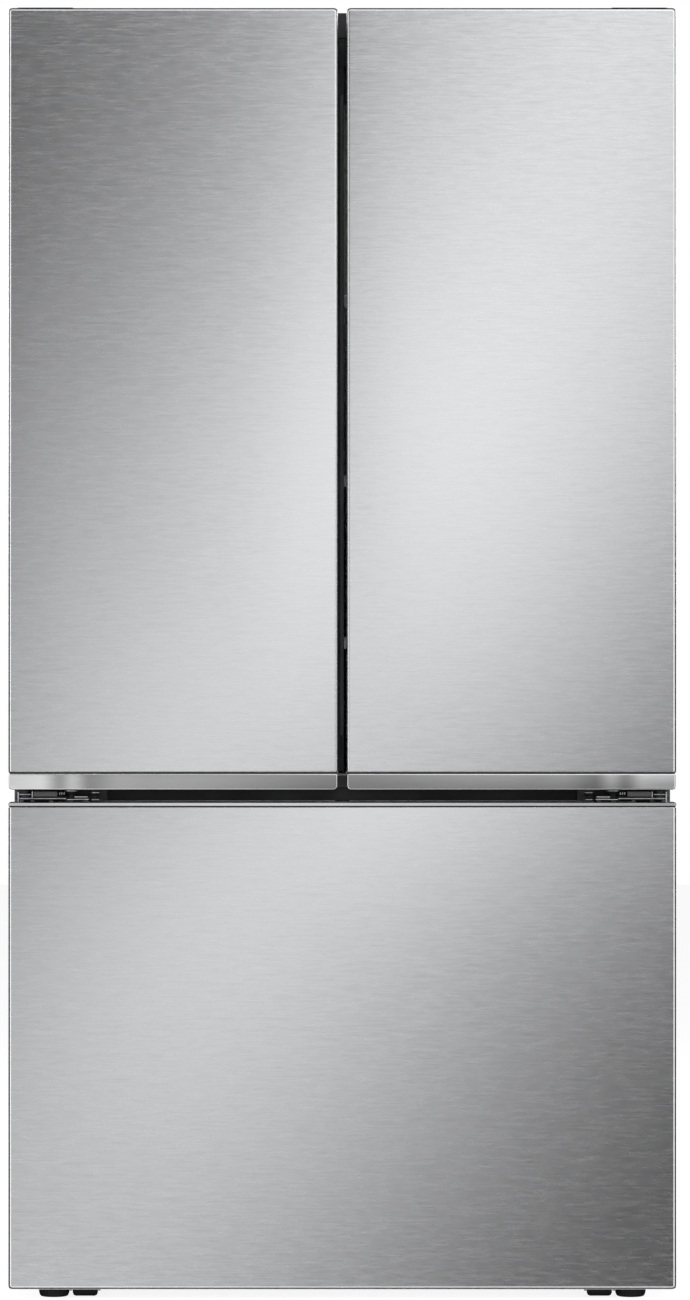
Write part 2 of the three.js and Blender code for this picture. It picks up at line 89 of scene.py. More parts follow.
def noise(tree, stretch, detail=3.0, warp=0.0):
    """Noise in the piece's own space: stretch is how many grains to a metre along X, Y and Z."""
    place = tree.nodes.new("ShaderNodeTexCoord")
    mapping = tree.nodes.new("ShaderNodeMapping")
    mapping.inputs["Scale"].default_value = stretch
    grains = tree.nodes.new("ShaderNodeTexNoise")
    grains.inputs["Scale"].default_value = 1.0
    grains.inputs["Detail"].default_value = detail
    grains.inputs["Distortion"].default_value = warp
    tree.links.new(place.outputs["Object"], mapping.inputs["Vector"])
    tree.links.new(mapping.outputs["Vector"], grains.inputs["Vector"])
    return grains.outputs["Fac"]


def spread(tree, fac, low, high):
    """Turns the middle of a noise into a number between low and high."""
    node = tree.nodes.new("ShaderNodeMapRange")
    node.inputs["From Min"].default_value = 0.3
    node.inputs["From Max"].default_value = 0.7
    node.inputs["To Min"].default_value = low
    node.inputs["To Max"].default_value = high
    tree.links.new(fac, node.inputs["Value"])
    return node.outputs["Result"]


def two_shades(tree, fac, first, second):
    node = tree.nodes.new("ShaderNodeMix")
    node.data_type = "RGBA"
    node.inputs["A"].default_value = (*first, 1)
    node.inputs["B"].default_value = (*second, 1)
    tree.links.new(spread(tree, fac, 0, 1), node.inputs["Factor"])
    return node.outputs["Result"]


def raised(tree, shader, fac, depth):
    """Raises the surface by a noise; depth is the height of a grain in metres."""
    node = tree.nodes.new("ShaderNodeBump")
    node.inputs["Distance"].default_value = depth
    tree.links.new(fac, node.inputs["Height"])
    tree.links.new(node.outputs["Normal"], shader.inputs["Normal"])


def finish(name, first, second, rough, grain, depth, metal=0.0, patches=(5, 5, 5)):
    """A surface with two close shades in soft patches, a roughness that wanders, and a fine grain."""
    material, tree, shader = new_material(name)
    tree.links.new(two_shades(tree, noise(tree, patches, 4.0), first, second), shader.inputs["Base Color"])
    tree.links.new(spread(tree, noise(tree, (23, 23, 23)), *rough), shader.inputs["Roughness"])
    shader.inputs["Metallic"].default_value = metal
    raised(tree, shader, noise(tree, grain, 2.0), depth)
    return material


def dress(node, material, edge=0.0):
    """Gives a CAD node its finish and, where edge is set, eases its corners by that much."""
    part = parts[node]
    part.data.materials.clear()
    part.data.materials.append(material)
    if edge:
        easing = part.modifiers.new("eased_edges", "BEVEL")
        easing.width = edge
        easing.segments = 2
        easing.limit_method = "ANGLE"
        easing.angle_limit = math.radians(50)
        easing.harden_normals = True
    return part


def piece(name, form, material, body, smooth=35):
    """Turns a bmesh into a piece that rides on a body and takes its finish from a slot."""
    bmesh.ops.recalc_face_normals(form, faces=form.faces)
    mesh = bpy.data.meshes.new(name)
    form.to_mesh(mesh)
    form.free()
    mesh.materials.append(material)
    mesh.shade_smooth()
    mesh.set_sharp_from_angle(angle=math.radians(smooth))
    made = bpy.data.objects.new(name, mesh)
    bpy.context.scene.collection.objects.link(made)
    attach(made, body)
    return made


def bar(form, low, high, ease=0.001, steps=2):
    """A block with eased edges between two corners."""
    low, high = Vector(low), Vector(high)
    size = high - low
    place = Matrix.Translation((low + high) / 2) @ Matrix.Diagonal((*size, 1))
    made = bmesh.ops.create_cube(form, size=1.0, matrix=place)["verts"]
    edges = list({edge for vert in made for edge in vert.link_edges})
    ease = min(ease, min(size) * 0.45)
    bmesh.ops.bevel(form, geom=edges, offset=ease, segments=steps, profile=0.5, affect="EDGES")


def turned(form, outline, centre, axis="Z", steps=32):
    """Turns an outline of (radius, distance along the axis) points about an axis through centre."""
    centre = Vector(centre)
    turn = {"Z": Matrix.Identity(3), "X": Matrix.Rotation(math.radians(90), 3, "Y"),
            "Y": Matrix.Rotation(math.radians(-90), 3, "X")}[axis]
    rings = []
    for radius, along in outline:
        count = 1 if radius < 1e-6 else steps
        ring = []
        for k in range(count):
            angle = 2 * math.pi * k / steps
            local = Vector((radius * math.cos(angle), radius * math.sin(angle), along))
            ring.append(form.verts.new(centre + turn @ local))
        rings.append(ring)
    for lower, upper in zip(rings, rings[1:]):
        for k in range(steps):
            after = (k + 1) % steps
            quad = [lower[k % len(lower)], lower[after % len(lower)], upper[after % len(upper)],
                    upper[k % len(upper)]]
            corners = list(dict.fromkeys(quad))
            if len(corners) > 2:
                form.faces.new(corners)
    if outline[0] == outline[-1]:
        bmesh.ops.remove_doubles(form, verts=rings[0] + rings[-1], dist=1e-7)
        return
    for ring in (rings[0], rings[-1]):
        if len(ring) > 1:
            form.faces.new(ring)


def hex_screw(form, centre, axis="Y", out=1, size=0.004):
    """A washer-head sheet metal screw: out is the side of the axis that its head faces."""
    washer = [(size * 1.45, 0), (size * 1.45, 0.0006), (size * 1.25, 0.0011), (size * 0.9, 0.0012)]
    turned(form, [(radius, along * out) for radius, along in washer], centre, axis, 20)
    head = [(size, 0.0008), (size, 0.0042), (size * 0.86, 0.0050), (size * 0.45, 0.0050),
            (size * 0.3, 0.0042)]
    turned(form, [(radius, along * out) for radius, along in head], centre, axis, 6)


case_paint = finish("case_paint", (0.112, 0.115, 0.119), (0.13, 0.133, 0.137), (0.42, 0.55),
                    (850, 850, 850), 0.00008)
dress("outer_wrapper", case_paint, 0.002)
dress("front_frame", case_paint, 0.0006)

wrap_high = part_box("outer_wrapper")[1]
case_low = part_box("front_frame")[0]
back_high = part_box("back_panel")[1]
hems = bmesh.new()
HEM = 0.012                  # the sheet's folded rear edge
for side in (-1, 1):
    x0, x1 = sorted((side * wrap_high.x, side * (wrap_high.x - HEM)))
    bar(hems, (x0, back_high.y - 0.0002, 0.062), (x1, back_high.y + 0.0008, wrap_high.z), 0.0004)
bar(hems, (-wrap_high.x + HEM, back_high.y - 0.0002, wrap_high.z - HEM),
    (wrap_high.x - HEM, back_high.y + 0.0008, wrap_high.z), 0.0004)
piece("case_hems", hems, case_paint, "cabinet")

# ==== Rear panel ====
# A flat steel sheet closes the back. Long beads are pressed into it so that it doesn't drum, and
# blind rivets hold it to the case all round.
dress("back_panel", case_paint)
beads = bmesh.new()
BEAD_WIDTH = 0.016
BEAD_RISE = 0.0007
bead_x = [-0.34, -0.17, 0.0, 0.17, 0.34]
for x in bead_x:
    for z0, z1 in ((0.33, 0.72), (0.80, 1.19), (1.27, 1.66)):
        made = bmesh.ops.create_uvsphere(beads, u_segments=16, v_segments=10, radius=1.0)["verts"]
        for vert in made:
            shift = z1 - BEAD_WIDTH / 2 if vert.co.z > 0 else z0 + BEAD_WIDTH / 2
            vert.co = Vector((x + vert.co.x * BEAD_WIDTH / 2, back_high.y + vert.co.y * BEAD_RISE,
                              shift + vert.co.z * BEAD_WIDTH / 2))
piece("rear_panel_beads", beads, case_paint, "cabinet", 60)

zinc, tree, shader = new_material("zinc_steel")
cells = tree.nodes.new("ShaderNodeTexVoronoi")
cells.inputs["Scale"].default_value = 140
place = tree.nodes.new("ShaderNodeTexCoord")
tree.links.new(place.outputs["Object"], cells.inputs["Vector"])
tree.links.new(two_shades(tree, cells.outputs["Color"], (0.43, 0.44, 0.45), (0.56, 0.565, 0.57)),
               shader.inputs["Base Color"])
tree.links.new(spread(tree, noise(tree, (60, 60, 60)), 0.32, 0.48), shader.inputs["Roughness"])
shader.inputs["Metallic"].default_value = 0.9
raised(tree, shader, noise(tree, (300, 300, 300)), 0.00003)


def rivet(form, centre, axis="Y", out=1, size=0.0035, rise=0.0009):
    """A low blind rivet: a shallow dome with the dimple of its pulled stem."""
    dome = [(size, 0), (size * 0.92, rise * 0.6), (size * 0.6, rise), (size * 0.35, rise),
            (size * 0.3, rise * 0.5), (0, rise * 0.4)]
    turned(form, [(radius, along * out) for radius, along in dome], centre, axis, 18)


rear_rivets = bmesh.new()
for side in (-1, 1):
    for k in range(8):
        rivet(rear_rivets, (side * 0.4375, back_high.y, 0.30 + k * 0.19))
for k in range(5):
    rivet(rear_rivets, (-0.34 + k * 0.17, back_high.y, 1.722))
piece("rear_panel_rivets", rear_rivets, zinc, "cabinet")

# ==== Insulation and liners ====
# Polyurethane foam fills the walls. Each compartment has a vacuum-formed white plastic liner with
# moulded shelf ledges, and steps over the machine compartment at the back of the freezer.
foam = finish("foam", (0.74, 0.64, 0.36), (0.82, 0.74, 0.48), (0.85, 0.95), (420, 420, 420), 0.0009)
dress("insulation_foam", foam)

white_plastic = finish("liner_plastic", (0.80, 0.81, 0.82), (0.83, 0.84, 0.85), (0.26, 0.36),
                       (160, 160, 160), 0.00012)
dress("fridge_liner", white_plastic)
dress("freezer_liner", white_plastic)

fridge_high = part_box("fridge_liner")[1]
freezer_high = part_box("freezer_liner")[1]
SHELL = 0.003
ribs = bmesh.new()
for side in (-1, 1):
    wall = side * (fridge_high.x - SHELL)
    x0, x1 = sorted((wall, wall - side * 0.0012))
    for z in (0.965, 1.045, 1.19, 1.27, 1.45, 1.54, 1.62):
        bar(ribs, (x0, -0.15, z), (x1, 0.255, z + 0.006), 0.0006)
piece("fridge_liner_ribs", ribs, white_plastic, "cabinet")

runners = bmesh.new()
for side in (-1, 1):
    wall = side * (freezer_high.x - SHELL)
    x0, x1 = sorted((wall, wall - side * 0.0035))
    bar(runners, (x0, -0.265, 0.297), (x1, 0.13, 0.333), 0.001)
    for y in (-0.24, -0.08, 0.09):
        hex_screw(runners, (wall - side * 0.0034, y, 0.315), "X", -side, 0.0022)
piece("freezer_runner_plates", runners, zinc, "cabinet")

# ==== Machine cover and cord gland ====
# A thin moulded cover with rows of slots closes the machine compartment at the bottom of the back.
# The power cord's rubber gland sits in its corner.
black_plastic = finish("black_plastic", (0.013, 0.013, 0.014), (0.019, 0.019, 0.02), (0.42, 0.56),
                       (1400, 1400, 1400), 0.00005)
dress("machine_cover", black_plastic)
cover_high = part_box("machine_cover")[1]
cover_rivets = bmesh.new()
for side in (-1, 1):
    for z in (0.075, 0.155, 0.235):
        rivet(cover_rivets, (side * 0.436, cover_high.y - 0.0009, z))
for x in (-0.19, 0.02, 0.25):
    for z in (0.073, 0.240):
        rivet(cover_rivets, (x, cover_high.y - 0.0009, z))
piece("machine_cover_rivets", cover_rivets, zinc, "cabinet")

black_rubber = finish("black_rubber", (0.011, 0.011, 0.011), (0.017, 0.017, 0.017), (0.7, 0.85),
                      (700, 700, 700), 0.00008)
gland = bmesh.new()
turned(gland, [(0.013, -0.006), (0.013, 0.0), (0.0115, 0.0009), (0.0055, 0.0009), (0.0045, -0.002),
               (0.0045, -0.006)],
       (0.0, cover_high.y - 0.0009, 0.115), "Y", 28)
piece("cord_gland", gland, black_rubber, "cabinet")

# ==== Base pan ====
# A galvanised pan carries the machine compartment and the feet. It has stiffening beads, and cheeks
# that hold the rear axles.
dress("base_pan", zinc, 0.0006)
pan_floor = 0.052
stiffeners = bmesh.new()
for k in range(7):
    x = -0.27 + k * 0.09
    made = bmesh.ops.create_uvsphere(stiffeners, u_segments=12, v_segments=8, radius=1.0)["verts"]
    for vert in made:
        shift = 0.19 if vert.co.y > 0 else -0.20
        vert.co = Vector((x + vert.co.x * 0.010, shift + vert.co.y * 0.010, pan_floor + vert.co.z * 0.0022))
piece("base_pan_beads", stiffeners, zinc, "cabinet", 60)
pan_rivets = bmesh.new()
for side in (-1, 1):
    for y in (-0.21, -0.05, 0.11, 0.24):
        rivet(pan_rivets, (side * 0.434, y, pan_floor), "Z", -1, 0.004, 0.0016)
piece("base_pan_rivets", pan_rivets, zinc, "cabinet")

# ==== Machine compartment ====
# The compressor sits on rubber grommets and a fan blows across it and the condenser coil. Copper pipes
# run to the coil and the dryer and up into the foam; the charging pipe is pinched off.
compressor_paint = finish("compressor_paint", (0.014, 0.014, 0.015), (0.02, 0.02, 0.021), (0.22, 0.36),
                          (260, 260, 260), 0.0001)
dress("compressor", compressor_paint, 0.002)
dress("condenser_coil", compressor_paint)
dress("condenser_fan", black_plastic)
can_low, can_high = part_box("compressor")
can = Vector((-0.180, 0.278, 0))
fittings = bmesh.new()
turned(fittings, [(0.0622, 0.132), (0.0645, 0.133), (0.0645, 0.139), (0.0622, 0.140)], can, "Z", 40)
bar(fittings, (can.x + 0.058, can.y - 0.022, 0.100), (can.x + 0.083, can.y + 0.022, 0.150), 0.004, 3)
piece("compressor_seam_and_terminal_cover", fittings, compressor_paint, "cabinet")
grommets = bmesh.new()
for x in (can_low.x + 0.016, can_high.x - 0.06):
    for y in (can_low.y + 0.014, can_high.y - 0.014):
        turned(grommets, [(0.011, 0.060), (0.011, 0.064), (0.008, 0.067), (0.008, 0.074), (0.011, 0.077),
                          (0.011, 0.081), (0.006, 0.0825)], (x, y, 0), "Z", 20)
piece("compressor_grommets", grommets, black_rubber, "cabinet")

copper = finish("copper", (0.62, 0.29, 0.17), (0.72, 0.37, 0.23), (0.24, 0.4), (240, 240, 240), 0.00003,
                1.0, (40, 40, 40))


def pipe(name, points, radius, material, body):
    """A round pipe, wire or hose that bends smoothly through its points."""
    line = bpy.data.curves.new(name, "CURVE")
    line.dimensions = "3D"
    line.bevel_depth = radius
    line.bevel_resolution = 3
    line.resolution_u = 6
    line.use_fill_caps = True
    run = line.splines.new("BEZIER")
    run.bezier_points.add(len(points) - 1)
    for knot, point in zip(run.bezier_points, points):
        knot.co = point
        knot.handle_left_type = "AUTO"
        knot.handle_right_type = "AUTO"
    line.materials.append(material)
    made = bpy.data.objects.new(name, line)
    bpy.context.scene.collection.objects.link(made)
    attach(made, body)
    return made


pipe("discharge_pipe", [(-0.098, 0.278, 0.135), (-0.075, 0.285, 0.135), (-0.055, 0.30, 0.15),
                        (-0.05, 0.318, 0.19), (-0.01, 0.326, 0.228), (0.06, 0.324, 0.234),
                        (0.085, 0.315, 0.226)],
     0.003, copper, "cabinet")
pipe("suction_pipe", [(-0.20, 0.232, 0.19), (-0.20, 0.222, 0.215), (-0.23, 0.215, 0.235),
                      (-0.30, 0.214, 0.243)],
     0.004, copper, "cabinet")
pipe("charging_pipe", [(-0.242, 0.285, 0.12), (-0.265, 0.29, 0.125), (-0.285, 0.30, 0.15),
                       (-0.288, 0.305, 0.19)],
     0.003, copper, "cabinet")
dryer = bmesh.new()
turned(dryer, [(0.003, 0.0), (0.004, 0.008), (0.010, 0.016), (0.010, 0.070), (0.004, 0.078), (0.003, 0.088)],
       (0.385, 0.30, 0.10), "Z", 24)
piece("filter_dryer", dryer, copper, "cabinet")
pipe("liquid_pipe", [(0.310, 0.300, 0.196), (0.335, 0.300, 0.206), (0.365, 0.300, 0.208),
                     (0.385, 0.300, 0.186)],
     0.003, copper, "cabinet")
pipe("capillary_pipe", [(0.385, 0.300, 0.102), (0.392, 0.300, 0.094), (0.406, 0.300, 0.100),
                        (0.412, 0.300, 0.150), (0.412, 0.300, 0.244)],
     0.0013, copper, "cabinet")
fins = bmesh.new()
for k in range(30):
    x = 0.086 + k * 0.0078
    bar(fins, (x, 0.224, 0.084), (x + 0.0008, 0.333, 0.211), 0.0001, 1)
piece("condenser_fins", fins, compressor_paint, "cabinet")
drip_tray = bmesh.new()
bar(drip_tray, (0.350, 0.215, 0.062), (0.435, 0.335, 0.066), 0.001)
for low, high in (((0.350, 0.215, 0.066), (0.352, 0.335, 0.086)),
                  ((0.433, 0.215, 0.066), (0.435, 0.335, 0.086)),
                  ((0.352, 0.215, 0.066), (0.433, 0.217, 0.086)),
                  ((0.352, 0.333, 0.066), (0.433, 0.335, 0.086))):
    bar(drip_tray, low, high, 0.0006)
piece("drip_tray", drip_tray, black_plastic, "cabinet")

# ==== Freezer cooling unit ====
# Aluminium fins on a folded tube, with a white fan above them, behind a white duct cover that has
# slots for the returning air.
aluminium = finish("fin_aluminium", (0.66, 0.67, 0.68), (0.74, 0.745, 0.75), (0.28, 0.42),
                   (500, 500, 500), 0.00003, 1.0)
dress("evaporator_coil", aluminium)
dress("evaporator_fan", white_plastic)
dress("evaporator_cover", white_plastic, 0.001)
cold_fins = bmesh.new()
for k in range(58):
    x = -0.288 + k * 0.0099
    bar(cold_fins, (x, 0.2455, 0.3425), (x + 0.0004, 0.2805, 0.4875), 0.0001, 1)
piece("evaporator_fins", cold_fins, aluminium, "cabinet")
cold_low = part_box("evaporator_cover")[0]
COLD_FAN_HEIGHT = 0.585
GRILLE_REACH = 0.0395        # half the length of a spoke
grille = bmesh.new()
for radius in (0.012, 0.020, 0.028, 0.036):
    turned(grille, [(radius, 0), (radius + 0.0022, 0), (radius + 0.0022, 0.003), (radius, 0.003),
                    (radius, 0)],
           (0, cold_low.y + 0.0002, COLD_FAN_HEIGHT), "Y", 36)
for k in range(3):
    angle = math.radians(60 * k + 30)
    made = bmesh.new()
    bar(made, (-GRILLE_REACH, -0.0012, -0.0015), (GRILLE_REACH, 0.0012, 0.0015), 0.0004)
    hub = Matrix.Translation((0, cold_low.y + 0.0018, COLD_FAN_HEIGHT))
    made.transform(hub @ Matrix.Rotation(angle, 4, "Y"))
    spoke = bpy.data.meshes.new("spoke")
    made.to_mesh(spoke)
    made.free()
    grille.from_mesh(spoke)
    bpy.data.meshes.remove(spoke)
piece("evaporator_fan_grille", grille, white_plastic, "cabinet")
duct_details = bmesh.new()
for side in (-1, 1):
    x0, x1 = sorted((side * 0.10, side * 0.34))
    for z in (0.46, 0.48, 0.50, 0.52):
        bar(duct_details, (x0, cold_low.y - 0.0025, z), (x1, cold_low.y - 0.0002, z + 0.007), 0.001)
    for z in (0.34, 0.62):
        rivet(duct_details, (side * 0.375, cold_low.y, z), "Y", -1, 0.006, 0.002)
piece("evaporator_cover_ribs", duct_details, white_plastic, "cabinet")

# ==== Top hinges and covers ====
# A pressed steel plate is bolted to the case on each side and its pin drops into the door's top
# bushing. Moulded black covers snap over the plates and over the wiring along the front edge.
hinge_zinc = finish("hinge_zinc", (0.16, 0.162, 0.165), (0.23, 0.232, 0.235), (0.3, 0.45),
                    (260, 260, 260), 0.00003, 0.85, (50, 50, 50))
dress("top_front_cover", black_plastic, 0.0012)
front_low, front_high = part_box("top_front_cover")
cover_ribs = bmesh.new()
for k in range(9):
    x = -0.32 + k * 0.08
    bar(cover_ribs, (x - 0.022, front_low.y + 0.02, front_high.z - 0.0002),
        (x + 0.022, front_high.y - 0.012, front_high.z + 0.0012), 0.0006)
piece("top_cover_ribs", cover_ribs, black_plastic, "cabinet")
for side, word in ((-1, "left"), (1, "right")):
    dress(f"top_hinge_{word}", hinge_zinc, 0.0006)
    dress(f"hinge_cover_{word}", black_plastic, 0.003)
    plate_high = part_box(f"top_hinge_{word}")[1]
    bolts = bmesh.new()
    for x, y in ((0.392, -0.235), (0.430, -0.235), (0.411, -0.262)):
        hex_screw(bolts, (side * x, y, plate_high.z), "Z", 1, 0.0042)
    piece(f"top_hinge_bolts_{word}", bolts, zinc, "cabinet")
    cap_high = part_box(f"hinge_cover_{word}")[1]
    cap_screw = bmesh.new()
    recess = [(0.0062, 0.0002), (0.0058, -0.0002), (0.005, -0.0004), (0, -0.0004)]
    turned(cap_screw, [(radius, -0.0003 + along) for radius, along in recess],
           (side * 0.408, -0.215, cap_high.z), "Z", 24)
    piece(f"hinge_cover_screw_{word}", cap_screw, zinc, "cabinet")

# ==== Centre hinges ====
# A thick bracket is screwed to the case in the gap above the drawer. It carries the door's lower pin in
# a nylon collar, a closing cam in a grey housing, and a black strip hides the case between the two.
divider_low, divider_high = (-0.322, case_low.y - 0.003, 0.672), (0.322, case_low.y - 0.0004, 0.6995)
divider = bmesh.new()
bar(divider, divider_low, divider_high, 0.0025, 3)
piece("divider_strip", divider, black_plastic, "cabinet")
cam_plastic = finish("cam_plastic", (0.07, 0.071, 0.072), (0.085, 0.086, 0.087), (0.38, 0.5),
                     (500, 500, 500), 0.00004)
# Painted shade: the centre hinge brackets, their waisted cones and the flap guide's slot take this
# near-black, so the shaded gap above the drawer reads dark.
painted_shade_black = finish("painted_shade_black", (0.010, 0.010, 0.011), (0.016, 0.016, 0.017), (0.35, 0.5),
                     (400, 400, 400), 0.00003)
for side, word in ((-1, "left"), (1, "right")):
    dress(f"centre_hinge_{word}", painted_shade_black, 0.0007)
    low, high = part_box(f"centre_hinge_{word}")

    def hinge_bars(name, bars, material):
        form = bmesh.new()
        for inner, outer, near, far, bottom, top, ease in bars:
            x0, x1 = sorted((side * inner, side * outer))
            bar(form, (x0, low.y + near, bottom), (x1, low.y + far, top), ease)
        piece(f"{name}_{word}", form, material, "cabinet")

    hinge_bars("closing_cam", ((0.3885, 0.4205, -0.004, 0.014, 0.6884, 0.6952, 0.0006),), cam_plastic)
    # These thin zinc strips along the bracket's edges, and one along the gap, are the only metal left
    # showing on the near-black bracket: painted highlights where its edges catch the light.
    hinge_bars("hinge_edges", ((0.3765, 0.4415, -0.0015, 0.0006, 0.6848, 0.6862, 0.0004),
                               (0.4215, 0.4230, -0.0050, -0.0020, 0.6868, 0.6956, 0.0004),
                               (0.4405, 0.4425, -0.0030, 0.0200, 0.6805, 0.6950, 0.0004),
                               (0.4245, 0.4395, -0.0030, 0.0000, 0.6905, 0.6918, 0.0004),
                               (0.3455, 0.3640, -0.0020, 0.0100, 0.6836, 0.6852, 0.0004),
                               (0.3470, 0.3650, -0.0010, 0.0100, 0.6868, 0.6886, 0.0005),
                               (0.0100, 0.3340, 0.0280, 0.0300, 0.6812, 0.6822, 0.0003)), zinc)
    cones = bmesh.new()
    rims = bmesh.new()
    for x, size in ((0.3695, 1.0), (0.3365, 0.8)):
        waist = [(0.0088, 0.0), (0.0045, 0.0052), (0.0042, 0.0066), (0.0094, 0.0118), (0.0094, 0.0130),
                 (0, 0.0130)]
        turned(cones, [(radius * size, along * size) for radius, along in waist],
               (side * x, low.y + 0.006, 0.6834), "Z", 28)
        for along in (0.0004, 0.0122):
            rim = [(0.0090, along), (0.0090, along + 0.0009), (0.0097, along + 0.0009), (0.0097, along),
                   (0.0090, along)]
            turned(rims, [(radius * size, lift * size) for radius, lift in rim],
                   (side * x, low.y + 0.006, 0.6834), "Z", 28)
    for k in range(3):
        turned(rims, [(0.0008, 0), (0.0008, 0.0030), (0.0006, 0.0034), (0, 0.0034)],
               (side * (0.3790 + k * 0.0030), low.y - 0.002, 0.6908), "Z", 10)
    piece(f"centre_hinge_cones_{word}", cones, painted_shade_black, "cabinet")
    piece(f"centre_hinge_rims_{word}", rims, zinc, "cabinet")
    flange = bmesh.new()
    for x in (0.352, 0.372, 0.400, 0.425, 0.440):
        hex_screw(flange, (side * x, high.y - 0.0031, 0.679), "Y", -1, 0.0026)
    piece(f"centre_hinge_flange_screws_{word}", flange, zinc, "cabinet")

# ==== Shelves, duct and lamp ====
# Tempered glass panes in slim trims rest on the liner's ledges: one shelf of full width, two half
# shelves above it, and the cover over the crispers. A moulded duct and a frosted lamp finish the room.
glass, tree, shader = new_material("shelf_glass")
tree.links.new(two_shades(tree, noise(tree, (4, 4, 4)), (0.86, 0.95, 0.93), (0.9, 0.97, 0.96)),
               shader.inputs["Base Color"])
tree.links.new(spread(tree, noise(tree, (9, 9, 9), 5.0), 0.02, 0.06), shader.inputs["Roughness"])
shader.inputs["Transmission Weight"].default_value = 0.95
shader.inputs["IOR"].default_value = 1.5
silver_trim = finish("silver_trim", (0.62, 0.625, 0.63), (0.68, 0.685, 0.69), (0.24, 0.34),
                     (30, 400, 400), 0.00002, 0.95)
for node in ("crisper_cover", "shelf_full", "shelf_left", "shelf_right"):
    low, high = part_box(node)
    level = high.z - 0.014
    pane = bmesh.new()
    bar(pane, (low.x + 0.002, low.y + 0.006, level - 0.0045),
        (high.x - 0.002, high.y - 0.003, level - 0.0003), 0.001)
    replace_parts(piece(f"{node}_pane", pane, glass, "cabinet"), node)
    trim = bmesh.new()
    profile = [(low.y, level - 0.015), (low.y + 0.003, level - 0.0158), (low.y + 0.0085, level - 0.0150),
               (low.y + 0.010, level - 0.006), (low.y + 0.014, level - 0.0052),
               (low.y + 0.014, level + 0.0012), (low.y + 0.004, level + 0.0027), (low.y, level + 0.0005)]
    ends = [[trim.verts.new((x, y, z)) for y, z in profile] for x in (low.x, high.x)]
    for k in range(len(profile)):
        after = (k + 1) % len(profile)
        trim.faces.new((ends[0][k], ends[0][after], ends[1][after], ends[1][k]))
    for end in ends:
        trim.faces.new(end)
    bmesh.ops.bevel(trim, geom=trim.edges[:], offset=0.0006, segments=2, affect="EDGES")
    piece(f"{node}_front_trim", trim, silver_trim, "cabinet")
    rail = bmesh.new()
    bar(rail, (low.x, high.y - 0.0065, level - 0.0095), (high.x, high.y - 0.0005, level + 0.0135), 0.0015)
    piece(f"{node}_rear_trim", rail, white_plastic, "cabinet")

dress("air_duct", white_plastic, 0.003)
duct_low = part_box("air_duct")[0]
louvres = bmesh.new()
for z in (1.020, 1.240, 1.480):
    for side in (-1, 1):
        x0, x1 = sorted((side * 0.0595, side * 0.1205))
        for k in range(4):
            bar(louvres, (x0, duct_low.y + 0.002, z + 0.003 + k * 0.0085),
                (x1, duct_low.y + 0.010, z + 0.0055 + k * 0.0085), 0.0006)
bar(louvres, (-0.045, duct_low.y - 0.002, 1.565), (0.045, duct_low.y + 0.001, 1.615), 0.0015)
for k in range(5):
    bar(louvres, (-0.034 + k * 0.015, duct_low.y - 0.0032, 1.585),
        (-0.026 + k * 0.015, duct_low.y - 0.001, 1.593), 0.0008)
piece("air_duct_louvres", louvres, white_plastic, "cabinet")

frosted, tree, shader = new_material("lamp_lens")
tree.links.new(two_shades(tree, noise(tree, (60, 60, 60)), (0.88, 0.88, 0.86), (0.94, 0.94, 0.92)),
               shader.inputs["Base Color"])
tree.links.new(spread(tree, noise(tree, (300, 300, 300)), 0.45, 0.6), shader.inputs["Roughness"])
shader.inputs["Emission Color"].default_value = (1.0, 0.98, 0.93, 1)
shader.inputs["Emission Strength"].default_value = 0.6
dress("ceiling_lamp", frosted, 0.002)
lamp_low, lamp_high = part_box("ceiling_lamp")
lamp_ribs = bmesh.new()
for k in range(18):
    x = lamp_low.x + 0.010 + k * 0.0150
    bar(lamp_ribs, (x, lamp_low.y + 0.006, lamp_low.z - 0.0006),
        (x + 0.006, lamp_high.y - 0.006, lamp_low.z + 0.0008), 0.0005)
piece("ceiling_lamp_ribs", lamp_ribs, frosted, "cabinet")

# ==== Crispers ====
# Two clear moulded drawers with drafted walls, a stiff rim and a full-width pull along the front. They
# slide on the liner's floor under the glass cover.
clear, tree, shader = new_material("clear_plastic")
tree.links.new(two_shades(tree, noise(tree, (6, 6, 6)), (0.84, 0.90, 0.93), (0.88, 0.93, 0.95)),
               shader.inputs["Base Color"])
tree.links.new(spread(tree, noise(tree, (30, 30, 30)), 0.08, 0.16), shader.inputs["Roughness"])
shader.inputs["Transmission Weight"].default_value = 0.82
shader.inputs["IOR"].default_value = 1.46


def rounded_loop(low, high, radius, steps=5):
    """The corners of a rounded rectangle, in order round it, as (across, along) pairs."""
    (a0, b0), (a1, b1) = low, high
    loop = []
    for corner, (ca, cb) in enumerate(((a1 - radius, b1 - radius), (a0 + radius, b1 - radius),
                                       (a0 + radius, b0 + radius), (a1 - radius, b0 + radius))):
        for k in range(steps + 1):
            angle = math.radians(90 * corner + 90 * k / steps)
            loop.append((ca + radius * math.cos(angle), cb + radius * math.sin(angle)))
    return loop


def bridge(form, rings, closed=False):
    """Joins rings of vertices, one after another, with four-sided faces."""
    pairs = list(zip(rings, rings[1:])) + ([(rings[-1], rings[0])] if closed else [])
    for lower, upper in pairs:
        for k in range(len(lower)):
            after = (k + 1) % len(lower)
            form.faces.new((lower[k], lower[after], upper[after], upper[k]))


